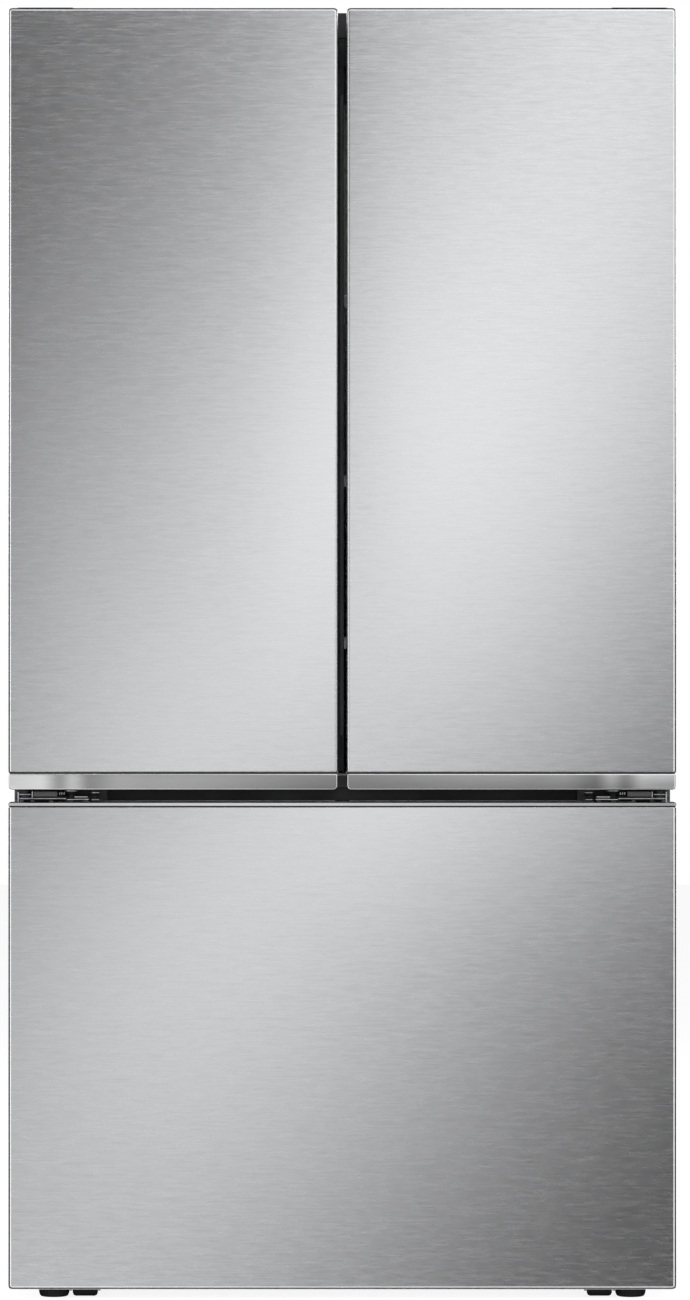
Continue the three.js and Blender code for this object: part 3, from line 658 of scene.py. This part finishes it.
def moulded_tub(form, low, high, wall=0.0025, corner=0.018, draft=0.006, rim=0.005, down=False):
    """A moulded bin that is open at the top (or below): drafted walls, round corners, a turned-out rim."""
    low, high = Vector(low), Vector(high)
    roll = min(0.008, corner * 0.5)
    tall = high.z - low.z

    def ring(inset, height):
        edge = rounded_loop((low.x + inset, low.y + inset), (high.x - inset, high.y - inset),
                            max(corner - inset, 0.003))
        z = high.z - height if down else low.z + height
        return [form.verts.new((x, y, z)) for x, y in edge]

    side = rim + draft
    rings = [ring(side + roll, 0), ring(side + roll * 0.3, roll * 0.3), ring(side, roll),
             ring(rim, tall - 0.010), ring(0.0008, tall - 0.009), ring(0, tall - 0.008),
             ring(0, tall - 0.0008), ring(0.0008, tall), ring(rim + wall - 0.0008, tall),
             ring(rim + wall, tall - 0.0008),
             ring(side + wall, roll + wall), ring(side + wall + roll * 0.3, wall + roll * 0.3),
             ring(side + wall + roll, wall)]
    bridge(form, rings)
    form.faces.new(rings[0])
    form.faces.new(rings[-1])


for side, word in ((-1, "left"), (1, "right")):
    low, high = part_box(f"crisper_{word}")
    tub = bmesh.new()
    moulded_tub(tub, (low.x, low.y + 0.006, low.z), (high.x, high.y, high.z), 0.003, 0.022, 0.007, 0.004)
    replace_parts(piece(f"crisper_tub_{word}", tub, clear, f"{word}_crisper"),
                f"crisper_{word}")
    pull = bmesh.new()
    bar(pull, (low.x, low.y, high.z - 0.012), (high.x, low.y + 0.0055, high.z), 0.002, 3)
    bar(pull, (low.x + 0.003, low.y + 0.0015, high.z - 0.040),
        (high.x - 0.003, low.y + 0.0058, high.z - 0.012), 0.0015)
    piece(f"crisper_pull_{word}", pull, white_plastic, f"{word}_crisper")
    slides = bmesh.new()
    for edge in (low.x + 0.012, high.x - 0.018):
        bar(slides, (edge, low.y + 0.03, low.z - 0.0022), (edge + 0.006, high.y - 0.02, low.z + 0.001),
            0.001)
    piece(f"crisper_feet_{word}", slides, white_plastic, f"{word}_crisper")

# ==== Doors ====
# Each upper door is a pressed stainless shell with rolled edges, foamed over a moulded white liner. The
# top end is a black moulding, the bottom a metal trim that hides the grip; a raised ring holds the bins.
steel, tree, shader = new_material("brushed_steel")


def brushed(tree, shader, first, second, rough, lines=(14, 14, 620)):
    """Metal with fine horizontal grinding lines, for stainless faces and their trims."""
    fine = noise(tree, lines, 3.0, 0.35)
    streaks = noise(tree, (45, 45, 260), 2.0, 0.6)
    total = tree.nodes.new("ShaderNodeMath")
    total.operation = "ADD"
    tree.links.new(fine, total.inputs[0])
    tree.links.new(streaks, total.inputs[1])
    half = tree.nodes.new("ShaderNodeMath")
    half.operation = "MULTIPLY"
    half.inputs[1].default_value = 0.5
    tree.links.new(total.outputs["Value"], half.inputs[0])
    tree.links.new(two_shades(tree, half.outputs["Value"], first, second), shader.inputs["Base Color"])
    tree.links.new(spread(tree, half.outputs["Value"], *rough), shader.inputs["Roughness"])
    shader.inputs["Metallic"].default_value = 1.0
    shader.inputs["Anisotropic"].default_value = 0.6
    shader.inputs["Anisotropic Rotation"].default_value = 0.25
    tangent = tree.nodes.new("ShaderNodeTangent")
    tangent.direction_type = "RADIAL"
    tangent.axis = "Z"
    tree.links.new(tangent.outputs["Tangent"], shader.inputs["Tangent"])
    raised(tree, shader, half.outputs["Value"], 0.000007)


brushed(tree, shader, (0.60, 0.605, 0.615), (0.70, 0.706, 0.716), (0.2, 0.3))
trim_steel, tree, shader = new_material("trim_metal")
brushed(tree, shader, (0.88, 0.885, 0.89), (0.95, 0.955, 0.96), (0.14, 0.2), (20, 20, 420))
shader.inputs["Anisotropic"].default_value = 0.35
# Painted reflection: the trim's colour is darkened in soft bands along its run and left bright at its outer
# ends, copying the room it mirrors, and only on faces that point to the front.
where = tree.nodes.new("ShaderNodeTexCoord")
split = tree.nodes.new("ShaderNodeSeparateXYZ")
tree.links.new(where.outputs["Object"], split.inputs[0])
away = tree.nodes.new("ShaderNodeMath")
away.operation = "ABSOLUTE"
tree.links.new(split.outputs["X"], away.inputs[0])
run = tree.nodes.new("ShaderNodeValToRGB")
run.color_ramp.interpolation = "EASE"
run.color_ramp.elements[0].position = 0.0
run.color_ramp.elements[0].color = (0.25, 0.25, 0.25, 1)
run.color_ramp.elements[1].position = 0.412
run.color_ramp.elements[1].color = (1.0, 1.0, 1.0, 1)
for at, grey in ((0.26, 0.40), (0.302, 0.45), (0.343, 0.33), (0.367, 0.68), (0.384, 0.45)):
    stop = run.color_ramp.elements.new(at)
    stop.color = (grey, grey, grey, 1)
tree.links.new(away.outputs[0], run.inputs["Fac"])
painted_reflection_mix = tree.nodes.new("ShaderNodeMix")
painted_reflection_mix.data_type = "RGBA"
painted_reflection_mix.blend_type = "MULTIPLY"
# The painted reflection is masked by the face's world normal, so it fades as a door turns away from the
# front.
turned_away = tree.nodes.new("ShaderNodeNewGeometry")
lean = tree.nodes.new("ShaderNodeSeparateXYZ")
tree.links.new(turned_away.outputs["Normal"], lean.inputs[0])
flat = tree.nodes.new("ShaderNodeMapRange")
flat.inputs["From Min"].default_value = -0.95
flat.inputs["From Max"].default_value = -0.995
tree.links.new(lean.outputs["Y"], flat.inputs["Value"])
tree.links.new(flat.outputs["Result"], painted_reflection_mix.inputs["Factor"])
base = shader.inputs["Base Color"].links[0].from_socket
tree.links.new(base, painted_reflection_mix.inputs["A"])
tree.links.new(run.outputs["Color"], painted_reflection_mix.inputs["B"])
tree.links.new(painted_reflection_mix.outputs["Result"], shader.inputs["Base Color"])
gasket_rubber = finish("gasket_rubber", (0.44, 0.445, 0.45), (0.5, 0.505, 0.51), (0.5, 0.62),
                       (300, 300, 300), 0.00004)


def pressed_face(form, low, high, roll=0.0045, depth=0.0075, corner=(0.005, 0.005), squash=(1.0, 1.0)):
    """A pressed sheet face: flat, rolled back round all four edges, with returns of the given depth."""
    wall = 0.0008

    def ring(inset, y):
        up, down = inset * squash[0], inset * squash[1]
        loop = rounded_loop((low.x + inset, low.z + down), (high.x - inset, high.z - up), 0.001)
        shaped = []
        for k, (x, z) in enumerate(loop):
            radius = max((corner[0] if k < 12 else corner[1]) - inset, 0.0015)
            middle_x = (high.x - inset - 0.001 if k < 6 or k >= 18 else low.x + inset + 0.001)
            middle_z = (high.z - up - 0.001 if k < 12 else low.z + down + 0.001)
            grow = radius / 0.001
            inward_x = -1 if k < 6 or k >= 18 else 1
            inward_z = -1 if k < 12 else 1
            shaped.append(form.verts.new((middle_x + inward_x * (radius - 0.001) + (x - middle_x) * grow, y,
                                          middle_z + inward_z * (radius - 0.001) + (z - middle_z) * grow)))
        return shaped

    rings = []
    for k in range(7):
        angle = math.radians(90 * k / 6)
        rings.append(ring(roll * (1 - math.sin(angle)), low.y + roll * (1 - math.cos(angle))))
    rings.append(ring(0, low.y + depth))
    rings.append(ring(wall, low.y + depth))
    rings.append(ring(wall, low.y + roll + wall))
    rings.append(ring(roll, low.y + wall))
    bridge(form, rings)
    form.faces.new(rings[0])
    form.faces.new(rings[-1])


def gasket_ring(form, low, high):
    """A door gasket: a magnet pocket on soft bellows, in one loop with round corners."""
    tall = high.y - low.y
    profile = [(0.0015, 0.0), (0, 0.12), (0, 0.27), (0.0028, 0.36), (0.0006, 0.52), (0, 0.86), (0.0012, 1.0),
               (0.0128, 1.0), (0.014, 0.86), (0.0134, 0.52), (0.0112, 0.36), (0.014, 0.27), (0.014, 0.12),
               (0.0125, 0.0)]
    rings = []
    for inset, along in profile:
        loop = rounded_loop((low.x + inset, low.z + inset), (high.x - inset, high.z - inset), 0.017 - inset)
        rings.append([form.verts.new((x, low.y + tall * along, z)) for x, z in loop])
    bridge(form, rings, closed=True)


HINGE_OUT = 0.434            # the pins' place, from the middle
HINGE_BACK = -0.327
for side, word in ((-1, "left"), (1, "right")):
    body = f"{word}_door"
    low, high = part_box(f"{body}_skin")
    skin = bmesh.new()
    pressed_face(skin, low + Vector((0, 0, 0.0012)), high, squash=(1.0, 0.35), corner=(0.0055, 0.002))
    liner_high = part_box(f"{body}_liner")[1]
    for x, inward in ((low.x, 1), (high.x, -1)):
        x0, x1 = sorted((x, x + inward * 0.0011))
        bar(skin, (x0, low.y + 0.0074, low.z), (x1, high.y, liner_high.z), 0.0003)
        x0, x1 = sorted((x + inward * 0.0009, x + inward * 0.0029))
        bar(skin, (x0, high.y - 0.0012, low.z + 0.002), (x1, high.y, liner_high.z - 0.002), 0.0004)
    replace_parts(piece(f"{body}_shell", skin, steel, body), f"{body}_skin")

    cap = bmesh.new()
    inner, outer = (low.x + 0.0014, high.x - 0.0014)
    hinge_x, hinge_y = side * HINGE_OUT, HINGE_BACK
    x0, x1 = (inner, hinge_x - 0.010) if side > 0 else (hinge_x + 0.010, outer)
    bar(cap, (x0, low.y + 0.0078, liner_high.z - 0.0004), (x1, high.y - 0.0006, liner_high.z + 0.0014),
        0.0005)
    x0, x1 = (hinge_x - 0.0102, outer) if side > 0 else (inner, hinge_x + 0.0102)
    bar(cap, (x0, low.y + 0.0078, liner_high.z - 0.0004), (x1, hinge_y - 0.010, liner_high.z + 0.0014),
        0.0005)
    bar(cap, (x0, hinge_y + 0.010, liner_high.z - 0.0004), (x1, high.y - 0.0006, liner_high.z + 0.0014),
        0.0005)
    turned(cap, [(0.0072, -0.002), (0.0072, 0.0012), (0.0092, 0.0016), (0.0112, 0.0012), (0.0112, -0.002),
                 (0.0072, -0.002)],
           (hinge_x, hinge_y, liner_high.z), "Z", 28)
    piece(f"{body}_end_cap", cap, black_plastic, body)

    trim_low, trim_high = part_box(f"{body}_trim")
    face = bmesh.new()
    pressed_face(face, trim_low, trim_high - Vector((0, 0, 0.0005)), 0.0017, 0.0124, (0.0018, 0.0055))
    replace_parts(piece(f"{body}_trim_face", face, trim_steel, body), f"{body}_trim")
    sole = bmesh.new()
    bar(sole, (low.x + 0.002, low.y + 0.0024, trim_high.z - 0.002),
        (high.x - 0.002, low.y + 0.006, low.z + 0.004), 0.0005)
    for inner, outer, near, far in ((0.0068, 0.4531, 0.0541, 0.0676), (0.0068, 0.0242, 0.0128, 0.0545),
                                    (0.2998, 0.4245, 0.0128, 0.0545), (0.4241, 0.4531, 0.0128, 0.0245),
                                    (0.4241, 0.4531, 0.0435, 0.0545)):
        x0, x1 = sorted((side * inner, side * outer))
        bar(sole, (x0, low.y + near, trim_low.z + 0.0008), (x1, low.y + far, trim_high.z - 0.0002), 0.0006)
    piece(f"{body}_sole", sole, black_plastic, body)
    cup = bmesh.new()
    x0, x1 = sorted((side * 0.0243, side * 0.2997))
    moulded_tub(cup, (x0, low.y + 0.0143, trim_low.z + 0.0004),
                (x1, high.y - 0.0143, trim_low.z + 0.0296), 0.0012, 0.009, 0.0015, 0.0012, down=True)
    turned(cup, [(0.0072, 0.0), (0.0072, 0.003), (0.0094, 0.003), (0.0094, 0.0), (0.0072, 0.0)],
           (hinge_x, hinge_y, trim_low.z - 0.0006), "Z", 28)
    piece(f"{body}_grip_cup", cup, black_plastic, body)

    dress(f"{body}_liner", white_plastic, 0.002)
    dress(f"{body}_dike", white_plastic, 0.005)
    dike_low, dike_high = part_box(f"{body}_dike")
    moulding = bmesh.new()
    for z0, z1 in ((dike_low.z + 0.02, 0.985), (1.165, 1.385), (1.53, dike_high.z - 0.02)):
        bar(moulding, (dike_low.x + 0.030, high.y - 0.001, z0),
            (dike_high.x - 0.030, high.y + 0.0018, z1), 0.0015)
    for level in ("upper", "lower"):
        bin_low, bin_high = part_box(f"{word}_bin_{level}")
        for x0, x1 in ((dike_low.x + 0.0138, bin_low.x - 0.0001),
                       (bin_high.x + 0.0001, dike_high.x - 0.0138)):
            bar(moulding, (x0, high.y + 0.010, bin_high.z - 0.045),
                (x1, high.y + 0.030, bin_high.z - 0.012), 0.0005)
    piece(f"{body}_liner_mouldings", moulding, white_plastic, body)

    seal = bmesh.new()
    gasket_ring(seal, *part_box(f"{body}_gasket"))
    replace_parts(piece(f"{body}_seal", seal, gasket_rubber, body), f"{body}_gasket")

    for level in ("upper", "lower"):
        low_bin, high_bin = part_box(f"{word}_bin_{level}")
        tub = bmesh.new()
        moulded_tub(tub, low_bin, high_bin, 0.0028, 0.016, 0.003, 0.0045)
        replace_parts(piece(f"{word}_bin_{level}_tub", tub, clear, body),
                    f"{word}_bin_{level}")
        band = bmesh.new()
        bar(band, (low_bin.x + 0.014, high_bin.y - 0.0044, high_bin.z - 0.027),
            (high_bin.x - 0.014, high_bin.y - 0.0002, high_bin.z - 0.0095), 0.0012)
        piece(f"{word}_bin_{level}_band", band, silver_trim, body)

# ==== Centre flap ====
# A black flap on the left door's edge closes the slot between the doors from inside. Its ridge runs in
# a guide at the top, and folds the flap back as the door opens.
dress("mullion_flap", black_plastic, 0.001)
flap_low, flap_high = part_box("mullion_flap")
guide = bmesh.new()
bar(guide, (-0.0074, case_low.y - 0.0022, flap_high.z + 0.0006), (0.0074, case_low.y + 0.0002, 1.7195),
    0.0006)
piece("flap_guide", guide, black_plastic, "cabinet")
# Painted shade: a near-black bar fills the slot above the guide.
recess = bmesh.new()
bar(recess, (-0.0072, case_low.y - 0.0008, 1.7192), (0.0072, case_low.y + 0.0002, 1.7279), 0.0003)
piece("flap_guide_slot", recess, painted_shade_black, "cabinet")
block = bmesh.new()
bar(block, (-0.014, flap_high.y + 0.0015, 1.640), (0.014, flap_high.y + 0.021, 1.6912), 0.002)
piece("flap_guide_block", block, black_plastic, "cabinet")
# Painted highlight: the flap's ridge is a lighter grey than the black flap, standing for the light it
# catches in the deep slot.
ridge_painted_highlight = finish("ridge_painted_highlight", (0.100, 0.100, 0.102), (0.115, 0.115, 0.117), (0.4, 0.5),
                       (500, 500, 500), 0.00002)
ridge = bmesh.new()
outline = ((-0.0027, 0.7735), (-0.0007, 0.7690), (0.0014, 0.7735), (0.0014, 1.6512), (-0.0027, 1.6470))
near, far = ([ridge.verts.new((x, flap_low.y + shift, z)) for x, z in outline]
             for shift in (-0.0009, 0.0002))
bridge(ridge, [near, far])
ridge.faces.new(near)
ridge.faces.new(far)
bmesh.ops.bevel(ridge, geom=[edge for edge in ridge.edges
                             if edge.verts[0].co.y + edge.verts[1].co.y < 2 * flap_low.y - 0.0017],
                offset=0.0005, segments=2, affect="EDGES")
piece("flap_ridge", ridge, ridge_painted_highlight, "mullion")
flap = bmesh.new()
for z in (flap_low.z + 0.06, 1.205, flap_high.z - 0.09):
    turned(flap, [(0.0042, 0), (0.0042, 0.03), (0.003, 0.0312), (0, 0.0312)],
           (flap_low.x + 0.004, flap_high.y - 0.0005, z), "Z", 20)
piece("flap_pivots", flap, hinge_zinc, "mullion")

# ==== Freezer drawer ====
# The drawer front is the same pressed stainless over foam. A metal cap with a full-width finger pocket
# runs along its top, and the front hangs on two steel slides that carry the bin.
low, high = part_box("freezer_door_skin")
front = bmesh.new()
pressed_face(front, low, high - Vector((0, 0, 0.0011)), squash=(0.33, 1.0), corner=(0.002, 0.0055))
for x, inward in ((low.x, 1), (high.x, -1)):
    x0, x1 = sorted((x, x + inward * 0.0011))
    bar(front, (x0, low.y + 0.0074, low.z + 0.0002), (x1, high.y, high.z), 0.0003)
    x0, x1 = sorted((x + inward * 0.0009, x + inward * 0.0029))
    bar(front, (x0, high.y - 0.0012, low.z + 0.002), (x1, high.y, high.z - 0.002), 0.0004)
bar(front, (low.x + 0.002, low.y + 0.0072, low.z - 0.0008),
    (high.x - 0.002, low.y + 0.022, low.z + 0.0002), 0.0003)
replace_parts(piece("freezer_door_shell", front, steel, "freezer_drawer"), "freezer_door_skin")
dress("freezer_handle_cap", steel, 0.0009)
cap_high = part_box("freezer_handle_cap")[1]
# Painted shadow: a thin black strip fills the gap under the top cap, where the drawer front shows only
# shade.
painted_shadow_strip = bmesh.new()
bar(painted_shadow_strip, (low.x + 0.0032, low.y + 0.0026, high.z - 0.006),
    (high.x - 0.0032, low.y + 0.0032, high.z + 0.0002), 0.0002)
piece("freezer_front_groove", painted_shadow_strip, black_plastic, "freezer_drawer")
pocket = bmesh.new()
moulded_tub(pocket, (-0.3997, low.y + 0.0123, cap_high.z - 0.0338),
            (0.3997, high.y - 0.0103, cap_high.z - 0.0003), 0.0012, 0.010, 0.002, 0.0012)
piece("freezer_pocket_liner", pocket, cam_plastic, "freezer_drawer")
dress("freezer_door_liner", white_plastic, 0.004)
seal = bmesh.new()
gasket_ring(seal, *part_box("freezer_gasket"))
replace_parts(piece("freezer_seal", seal, gasket_rubber, "freezer_drawer"), "freezer_gasket")
for side, word in ((-1, "left"), (1, "right")):
    dress(f"freezer_rail_{word}", zinc, 0.002)
    rail_low, rail_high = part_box(f"freezer_rail_{word}")
    slide = bmesh.new()
    x0, x1 = sorted((side * 0.3975, side * 0.3992))
    bar(slide, (x0, rail_low.y + 0.01, rail_low.z + 0.008), (x1, rail_high.y - 0.01, rail_low.z + 0.012),
        0.0005)
    bar(slide, (x0, rail_low.y + 0.01, rail_high.z - 0.012),
        (x1, rail_high.y - 0.01, rail_high.z - 0.008), 0.0005)
    x0, x1 = sorted((side * 0.378, side * 0.396))
    bar(slide, (x0, rail_low.y, rail_low.z - 0.008), (x1, rail_low.y + 0.0025, rail_high.z + 0.010), 0.001)
    piece(f"freezer_slide_{word}", slide, zinc, "freezer_drawer")
bin_low, bin_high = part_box("freezer_bin")
basket = bmesh.new()
moulded_tub(basket, (-0.366, bin_low.y, bin_low.z), (0.366, bin_high.y, bin_high.z), 0.0032, 0.03, 0.008,
            0.005)
for side in (-1, 1):
    x0, x1 = sorted((side * 0.3575, side * 0.395))
    bar(basket, (x0, -0.235, 0.3305), (x1, 0.110, 0.3338), 0.001)
for k in range(12):
    x = -0.30 + k * 0.0545
    bar(basket, (x - 0.003, bin_low.y + 0.005, bin_low.z + 0.03),
        (x + 0.003, bin_low.y + 0.0125, bin_high.z - 0.02), 0.001)
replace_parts(piece("freezer_basket", basket, clear, "freezer_drawer"), "freezer_bin")
tray_low, tray_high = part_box("freezer_tray")
tray = bmesh.new()
moulded_tub(tray, tray_low, tray_high, 0.003, 0.024, 0.004, 0.006)
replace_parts(piece("freezer_upper_tray", tray, clear, "upper_tray"), "freezer_tray")
pull = bmesh.new()
bar(pull, (tray_low.x + 0.03, tray_low.y + 0.0002, tray_high.z - 0.030),
    (tray_high.x - 0.03, tray_low.y + 0.0052, tray_high.z - 0.0095), 0.0015)
piece("freezer_tray_band", pull, white_plastic, "upper_tray")

# ==== Feet and rollers ====
# Black screw feet with fluted discs level the front; the load rides on rollers held in steel brackets.
foot_black = finish("foot_black", (0.006, 0.006, 0.006), (0.009, 0.009, 0.009), (0.5, 0.6),
                    (400, 400, 400), 0.00003)
foot_black.node_tree.nodes["Principled BSDF"].inputs["Specular IOR Level"].default_value = 0.15
for side, word in ((-1, "left"), (1, "right")):
    dress(f"front_bracket_{word}", hinge_zinc, 0.0006)
    low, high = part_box(f"leveling_leg_{word}")
    centre = ((low.x + high.x) / 2, (low.y + high.y) / 2, 0)
    foot = bmesh.new()
    turned(foot, [(0, 0.0), (0.0165, 0.0), (0.0188, 0.0008), (0.0205, 0.004), (0.0213, 0.009),
                  (0.0213, 0.0145), (0.0200, 0.0165), (0.0120, 0.0172), (0.0085, 0.0182),
                  (0.0080, 0.0190), (0, 0.0190)],
           centre, "Z", 96)
    for vert in foot.verts:
        away = Vector((vert.co.x - centre[0], vert.co.y - centre[1], 0))
        if away.length > 0.0184 and vert.co.z < 0.0166:
            turn = math.atan2(away.y, away.x)
            vert.co -= away.normalized() * 0.0008 * (0.5 + 0.5 * math.cos(24 * turn))
    thread = [(0, 0.0185)]
    for k in range(16):
        thread += [(0.0043, 0.0190 + k * 0.0018), (0.0049, 0.0195 + k * 0.0018),
                   (0.0049, 0.0200 + k * 0.0018)]
    turned(foot, thread + [(0.0043, high.z - 0.0006), (0, high.z - 0.0006)], centre, "Z", 20)
    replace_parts(piece(f"leveling_foot_{word}", foot, foot_black, f"{word}_leg"),
                f"leveling_leg_{word}")
    for place in ("front", "rear"):
        node = f"{place}_roller_{word}"
        low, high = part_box(node)
        radius, wide = (high.z - low.z) / 2, high.x - low.x
        ease = min(0.004, radius * 0.3)
        wheel = bmesh.new()
        outline = [(0.0035, 0.0022), (0.0070, 0.0022), (0.0085, 0.0008), (radius * 0.72, 0.0008),
                   (radius * 0.76, 0.0), (radius - ease, 0.0), (radius - ease * 0.3, ease * 0.3),
                   (radius, ease)]
        outline += [(r, wide - along) for r, along in outline[::-1]]
        turned(wheel, outline + [outline[0]], (low.x, (low.y + high.y) / 2, (low.z + high.z) / 2), "X", 48)
        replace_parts(piece(f"{node}_tyre", wheel, foot_black, f"{word}_{place}_wheel"), node)

# ==== Floor ====
# A wide white studio floor lies under the object. It glows a little of its own, so that it stays near
# white and only a soft shadow is left at the feet.
white_floor = finish("studio_floor", (0.25, 0.25, 0.25), (0.27, 0.27, 0.27), (0.6, 0.7), (300, 300, 300),
                     0.00002)
shell = white_floor.node_tree.nodes["Principled BSDF"]
shell.inputs["Emission Color"].default_value = (1, 1, 1, 1)
shell.inputs["Emission Strength"].default_value = 0.87
shell.inputs["Specular IOR Level"].default_value = 0.0
sweep = bmesh.new()
turned(sweep, [(0, 0.0), (4.0, 0.0), (9.0, 0.0), (13.9, 0.0), (14.0, -0.002), (13.9, -0.004),
               (0, -0.004)], (0, 0, 0), "Z", 96)
bmesh.ops.recalc_face_normals(sweep, faces=sweep.faces)
floor_mesh = bpy.data.meshes.new("studio_floor")
sweep.to_mesh(floor_mesh)
sweep.free()
floor_mesh.materials.append(white_floor)
floor_mesh.shade_smooth()
studio_floor = bpy.data.objects.new("studio_floor", floor_mesh)
bpy.context.scene.collection.objects.link(studio_floor)
studio_floor.visible_glossy = False

# ==== Studio light ====
# A large soft card with a diagonal glow hangs in front of the doors, which mirror it. The room is white
# in front and dim at the sides, so rolled edges catch a bright line and then turn dark.


def sums(tree, operation, first, second=0.0, third=0.0):
    """One step of arithmetic between values or sockets."""
    node = tree.nodes.new("ShaderNodeMath")
    node.operation = operation
    for slot, value in enumerate((first, second, third)):
        if isinstance(value, (int, float)):
            node.inputs[slot].default_value = value
        else:
            tree.links.new(value, node.inputs[slot])
    return node.outputs[0]


world = bpy.data.worlds.new("studio")
world.use_nodes = True
tree = world.node_tree
place = tree.nodes.new("ShaderNodeTexCoord")
split = tree.nodes.new("ShaderNodeSeparateXYZ")
tree.links.new(place.outputs["Generated"], split.inputs[0])
facing = tree.nodes.new("ShaderNodeMapRange")
facing.inputs["From Min"].default_value = 0.36
facing.inputs["From Max"].default_value = 0.50
facing.inputs["To Min"].default_value = 0.03
facing.inputs["To Max"].default_value = 1.15
tree.links.new(sums(tree, "MULTIPLY", split.outputs["Y"], -1.0), facing.inputs["Value"])
rays = tree.nodes.new("ShaderNodeLightPath")
seen = tree.nodes.new("ShaderNodeMix")
seen.inputs["B"].default_value = 1.0
tree.links.new(rays.outputs["Is Camera Ray"], seen.inputs["Factor"])
tree.links.new(facing.outputs["Result"], seen.inputs["A"])
tree.links.new(seen.outputs["Result"], tree.nodes["Background"].inputs["Strength"])
tree.nodes["Background"].inputs["Color"].default_value = (1, 1, 1, 1)
bpy.context.scene.world = world

card_mesh = bpy.data.meshes.new("glow_card")
card = bmesh.new()
card_y = cad_box[0][1] - 1.2
corners = [(-2.4, -1.0), (2.4, -1.0), (2.4, 3.4), (-2.4, 3.4)]
card.faces.new([card.verts.new((x, card_y, z)) for x, z in reversed(corners)])
card.to_mesh(card_mesh)
card.free()
glow, tree, shader = new_material("glow_card")
tree.nodes.remove(shader)
place = tree.nodes.new("ShaderNodeTexCoord")
split = tree.nodes.new("ShaderNodeSeparateXYZ")
tree.links.new(place.outputs["Object"], split.inputs[0])
band_lean = math.radians(25)   # the glow runs from the lower left to the upper right
band_width = 0.655
x, z = split.outputs["X"], split.outputs["Z"]
across = sums(tree, "ADD", sums(tree, "MULTIPLY", sums(tree, "SUBTRACT", x, 0.27), math.cos(band_lean)),
              sums(tree, "MULTIPLY", sums(tree, "SUBTRACT", z, 1.44), -math.sin(band_lean)))
fade = sums(tree, "POWER", sums(tree, "DIVIDE", across, band_width), 2.0)
band = sums(tree, "EXPONENT", sums(tree, "MULTIPLY", fade, -1.0))
height = sums(tree, "MULTIPLY_ADD", z, 0.38, 0.77)
height = sums(tree, "SUBTRACT", height, sums(tree, "MULTIPLY",
                                             sums(tree, "MAXIMUM", sums(tree, "SUBTRACT", z, 1.25), 0.0),
                                             0.68))


def ramp(value, start, end):
    """Nought before start, one past end, and a soft rise between them."""
    node = tree.nodes.new("ShaderNodeMapRange")
    node.interpolation_type = "SMOOTHSTEP"
    node.inputs["From Min"].default_value = start
    node.inputs["From Max"].default_value = end
    tree.links.new(value, node.inputs["Value"])
    return node.outputs["Result"]


def dimmed(glow_value, share, *ramps):
    """The glow with a share of it taken away where all the ramps are full."""
    area = share
    for one in ramps:
        area = sums(tree, "MULTIPLY", one, area)
    return sums(tree, "MULTIPLY", glow_value, sums(tree, "SUBTRACT", 1.0, area))


lower_right = (ramp(x, -0.35, 0.15), ramp(z, 0.76, 0.62), ramp(z, 0.15, 0.45))
upper_left = (ramp(x, 0.015, -0.015), ramp(x, -0.55, -0.30), ramp(z, 0.80, 1.00))
height = dimmed(height, 0.15, *lower_right)
height = dimmed(height, 0.15, *upper_left)
wings = sums(tree, "MAXIMUM", sums(tree, "SUBTRACT", sums(tree, "ABSOLUTE", x), 0.95),
             sums(tree, "SUBTRACT", sums(tree, "ABSOLUTE", sums(tree, "SUBTRACT", z, 0.9)), 1.45))
wings = sums(tree, "MULTIPLY", sums(tree, "MINIMUM", sums(tree, "MAXIMUM", wings, 0.0), 0.2), 8.0)
light = tree.nodes.new("ShaderNodeEmission")
tree.links.new(sums(tree, "ADD", sums(tree, "MULTIPLY", band, height), wings), light.inputs["Strength"])
tree.links.new(light.outputs[0], tree.nodes["Material Output"].inputs["Surface"])
card_mesh.materials.append(glow)
glow_card = bpy.data.objects.new("glow_card", card_mesh)
bpy.context.scene.collection.objects.link(glow_card)
glow_card.visible_camera = False
glow_card.visible_diffuse = False
glow_card.visible_shadow = False

for box_name, place_at, strength in (("left_box", (-3.4, -2.6, 2.4), 50),
                                     ("right_box", (3.4, -2.6, 2.4), 50),
                                     ("left_rear_box", (-3.2, 2.2, 2.2), 45),
                                     ("right_rear_box", (3.2, 2.2, 2.2), 45),
                                     ("top_box", (0, 0.4, 4.2), 40)):
    lamp_data = bpy.data.lights.new(box_name, "AREA")
    lamp_data.shape = "RECTANGLE"
    lamp_data.size = 1.6
    lamp_data.size_y = 2.2
    lamp_data.energy = strength
    soft_box = bpy.data.objects.new(box_name, lamp_data)
    soft_box.location = place_at
    aim = Vector((0, 0, 0.9)) - Vector(place_at)
    soft_box.rotation_euler = aim.to_track_quat("-Z", "Y").to_euler()
    soft_box.visible_glossy = "rear" in box_name
    bpy.context.scene.collection.objects.link(soft_box)
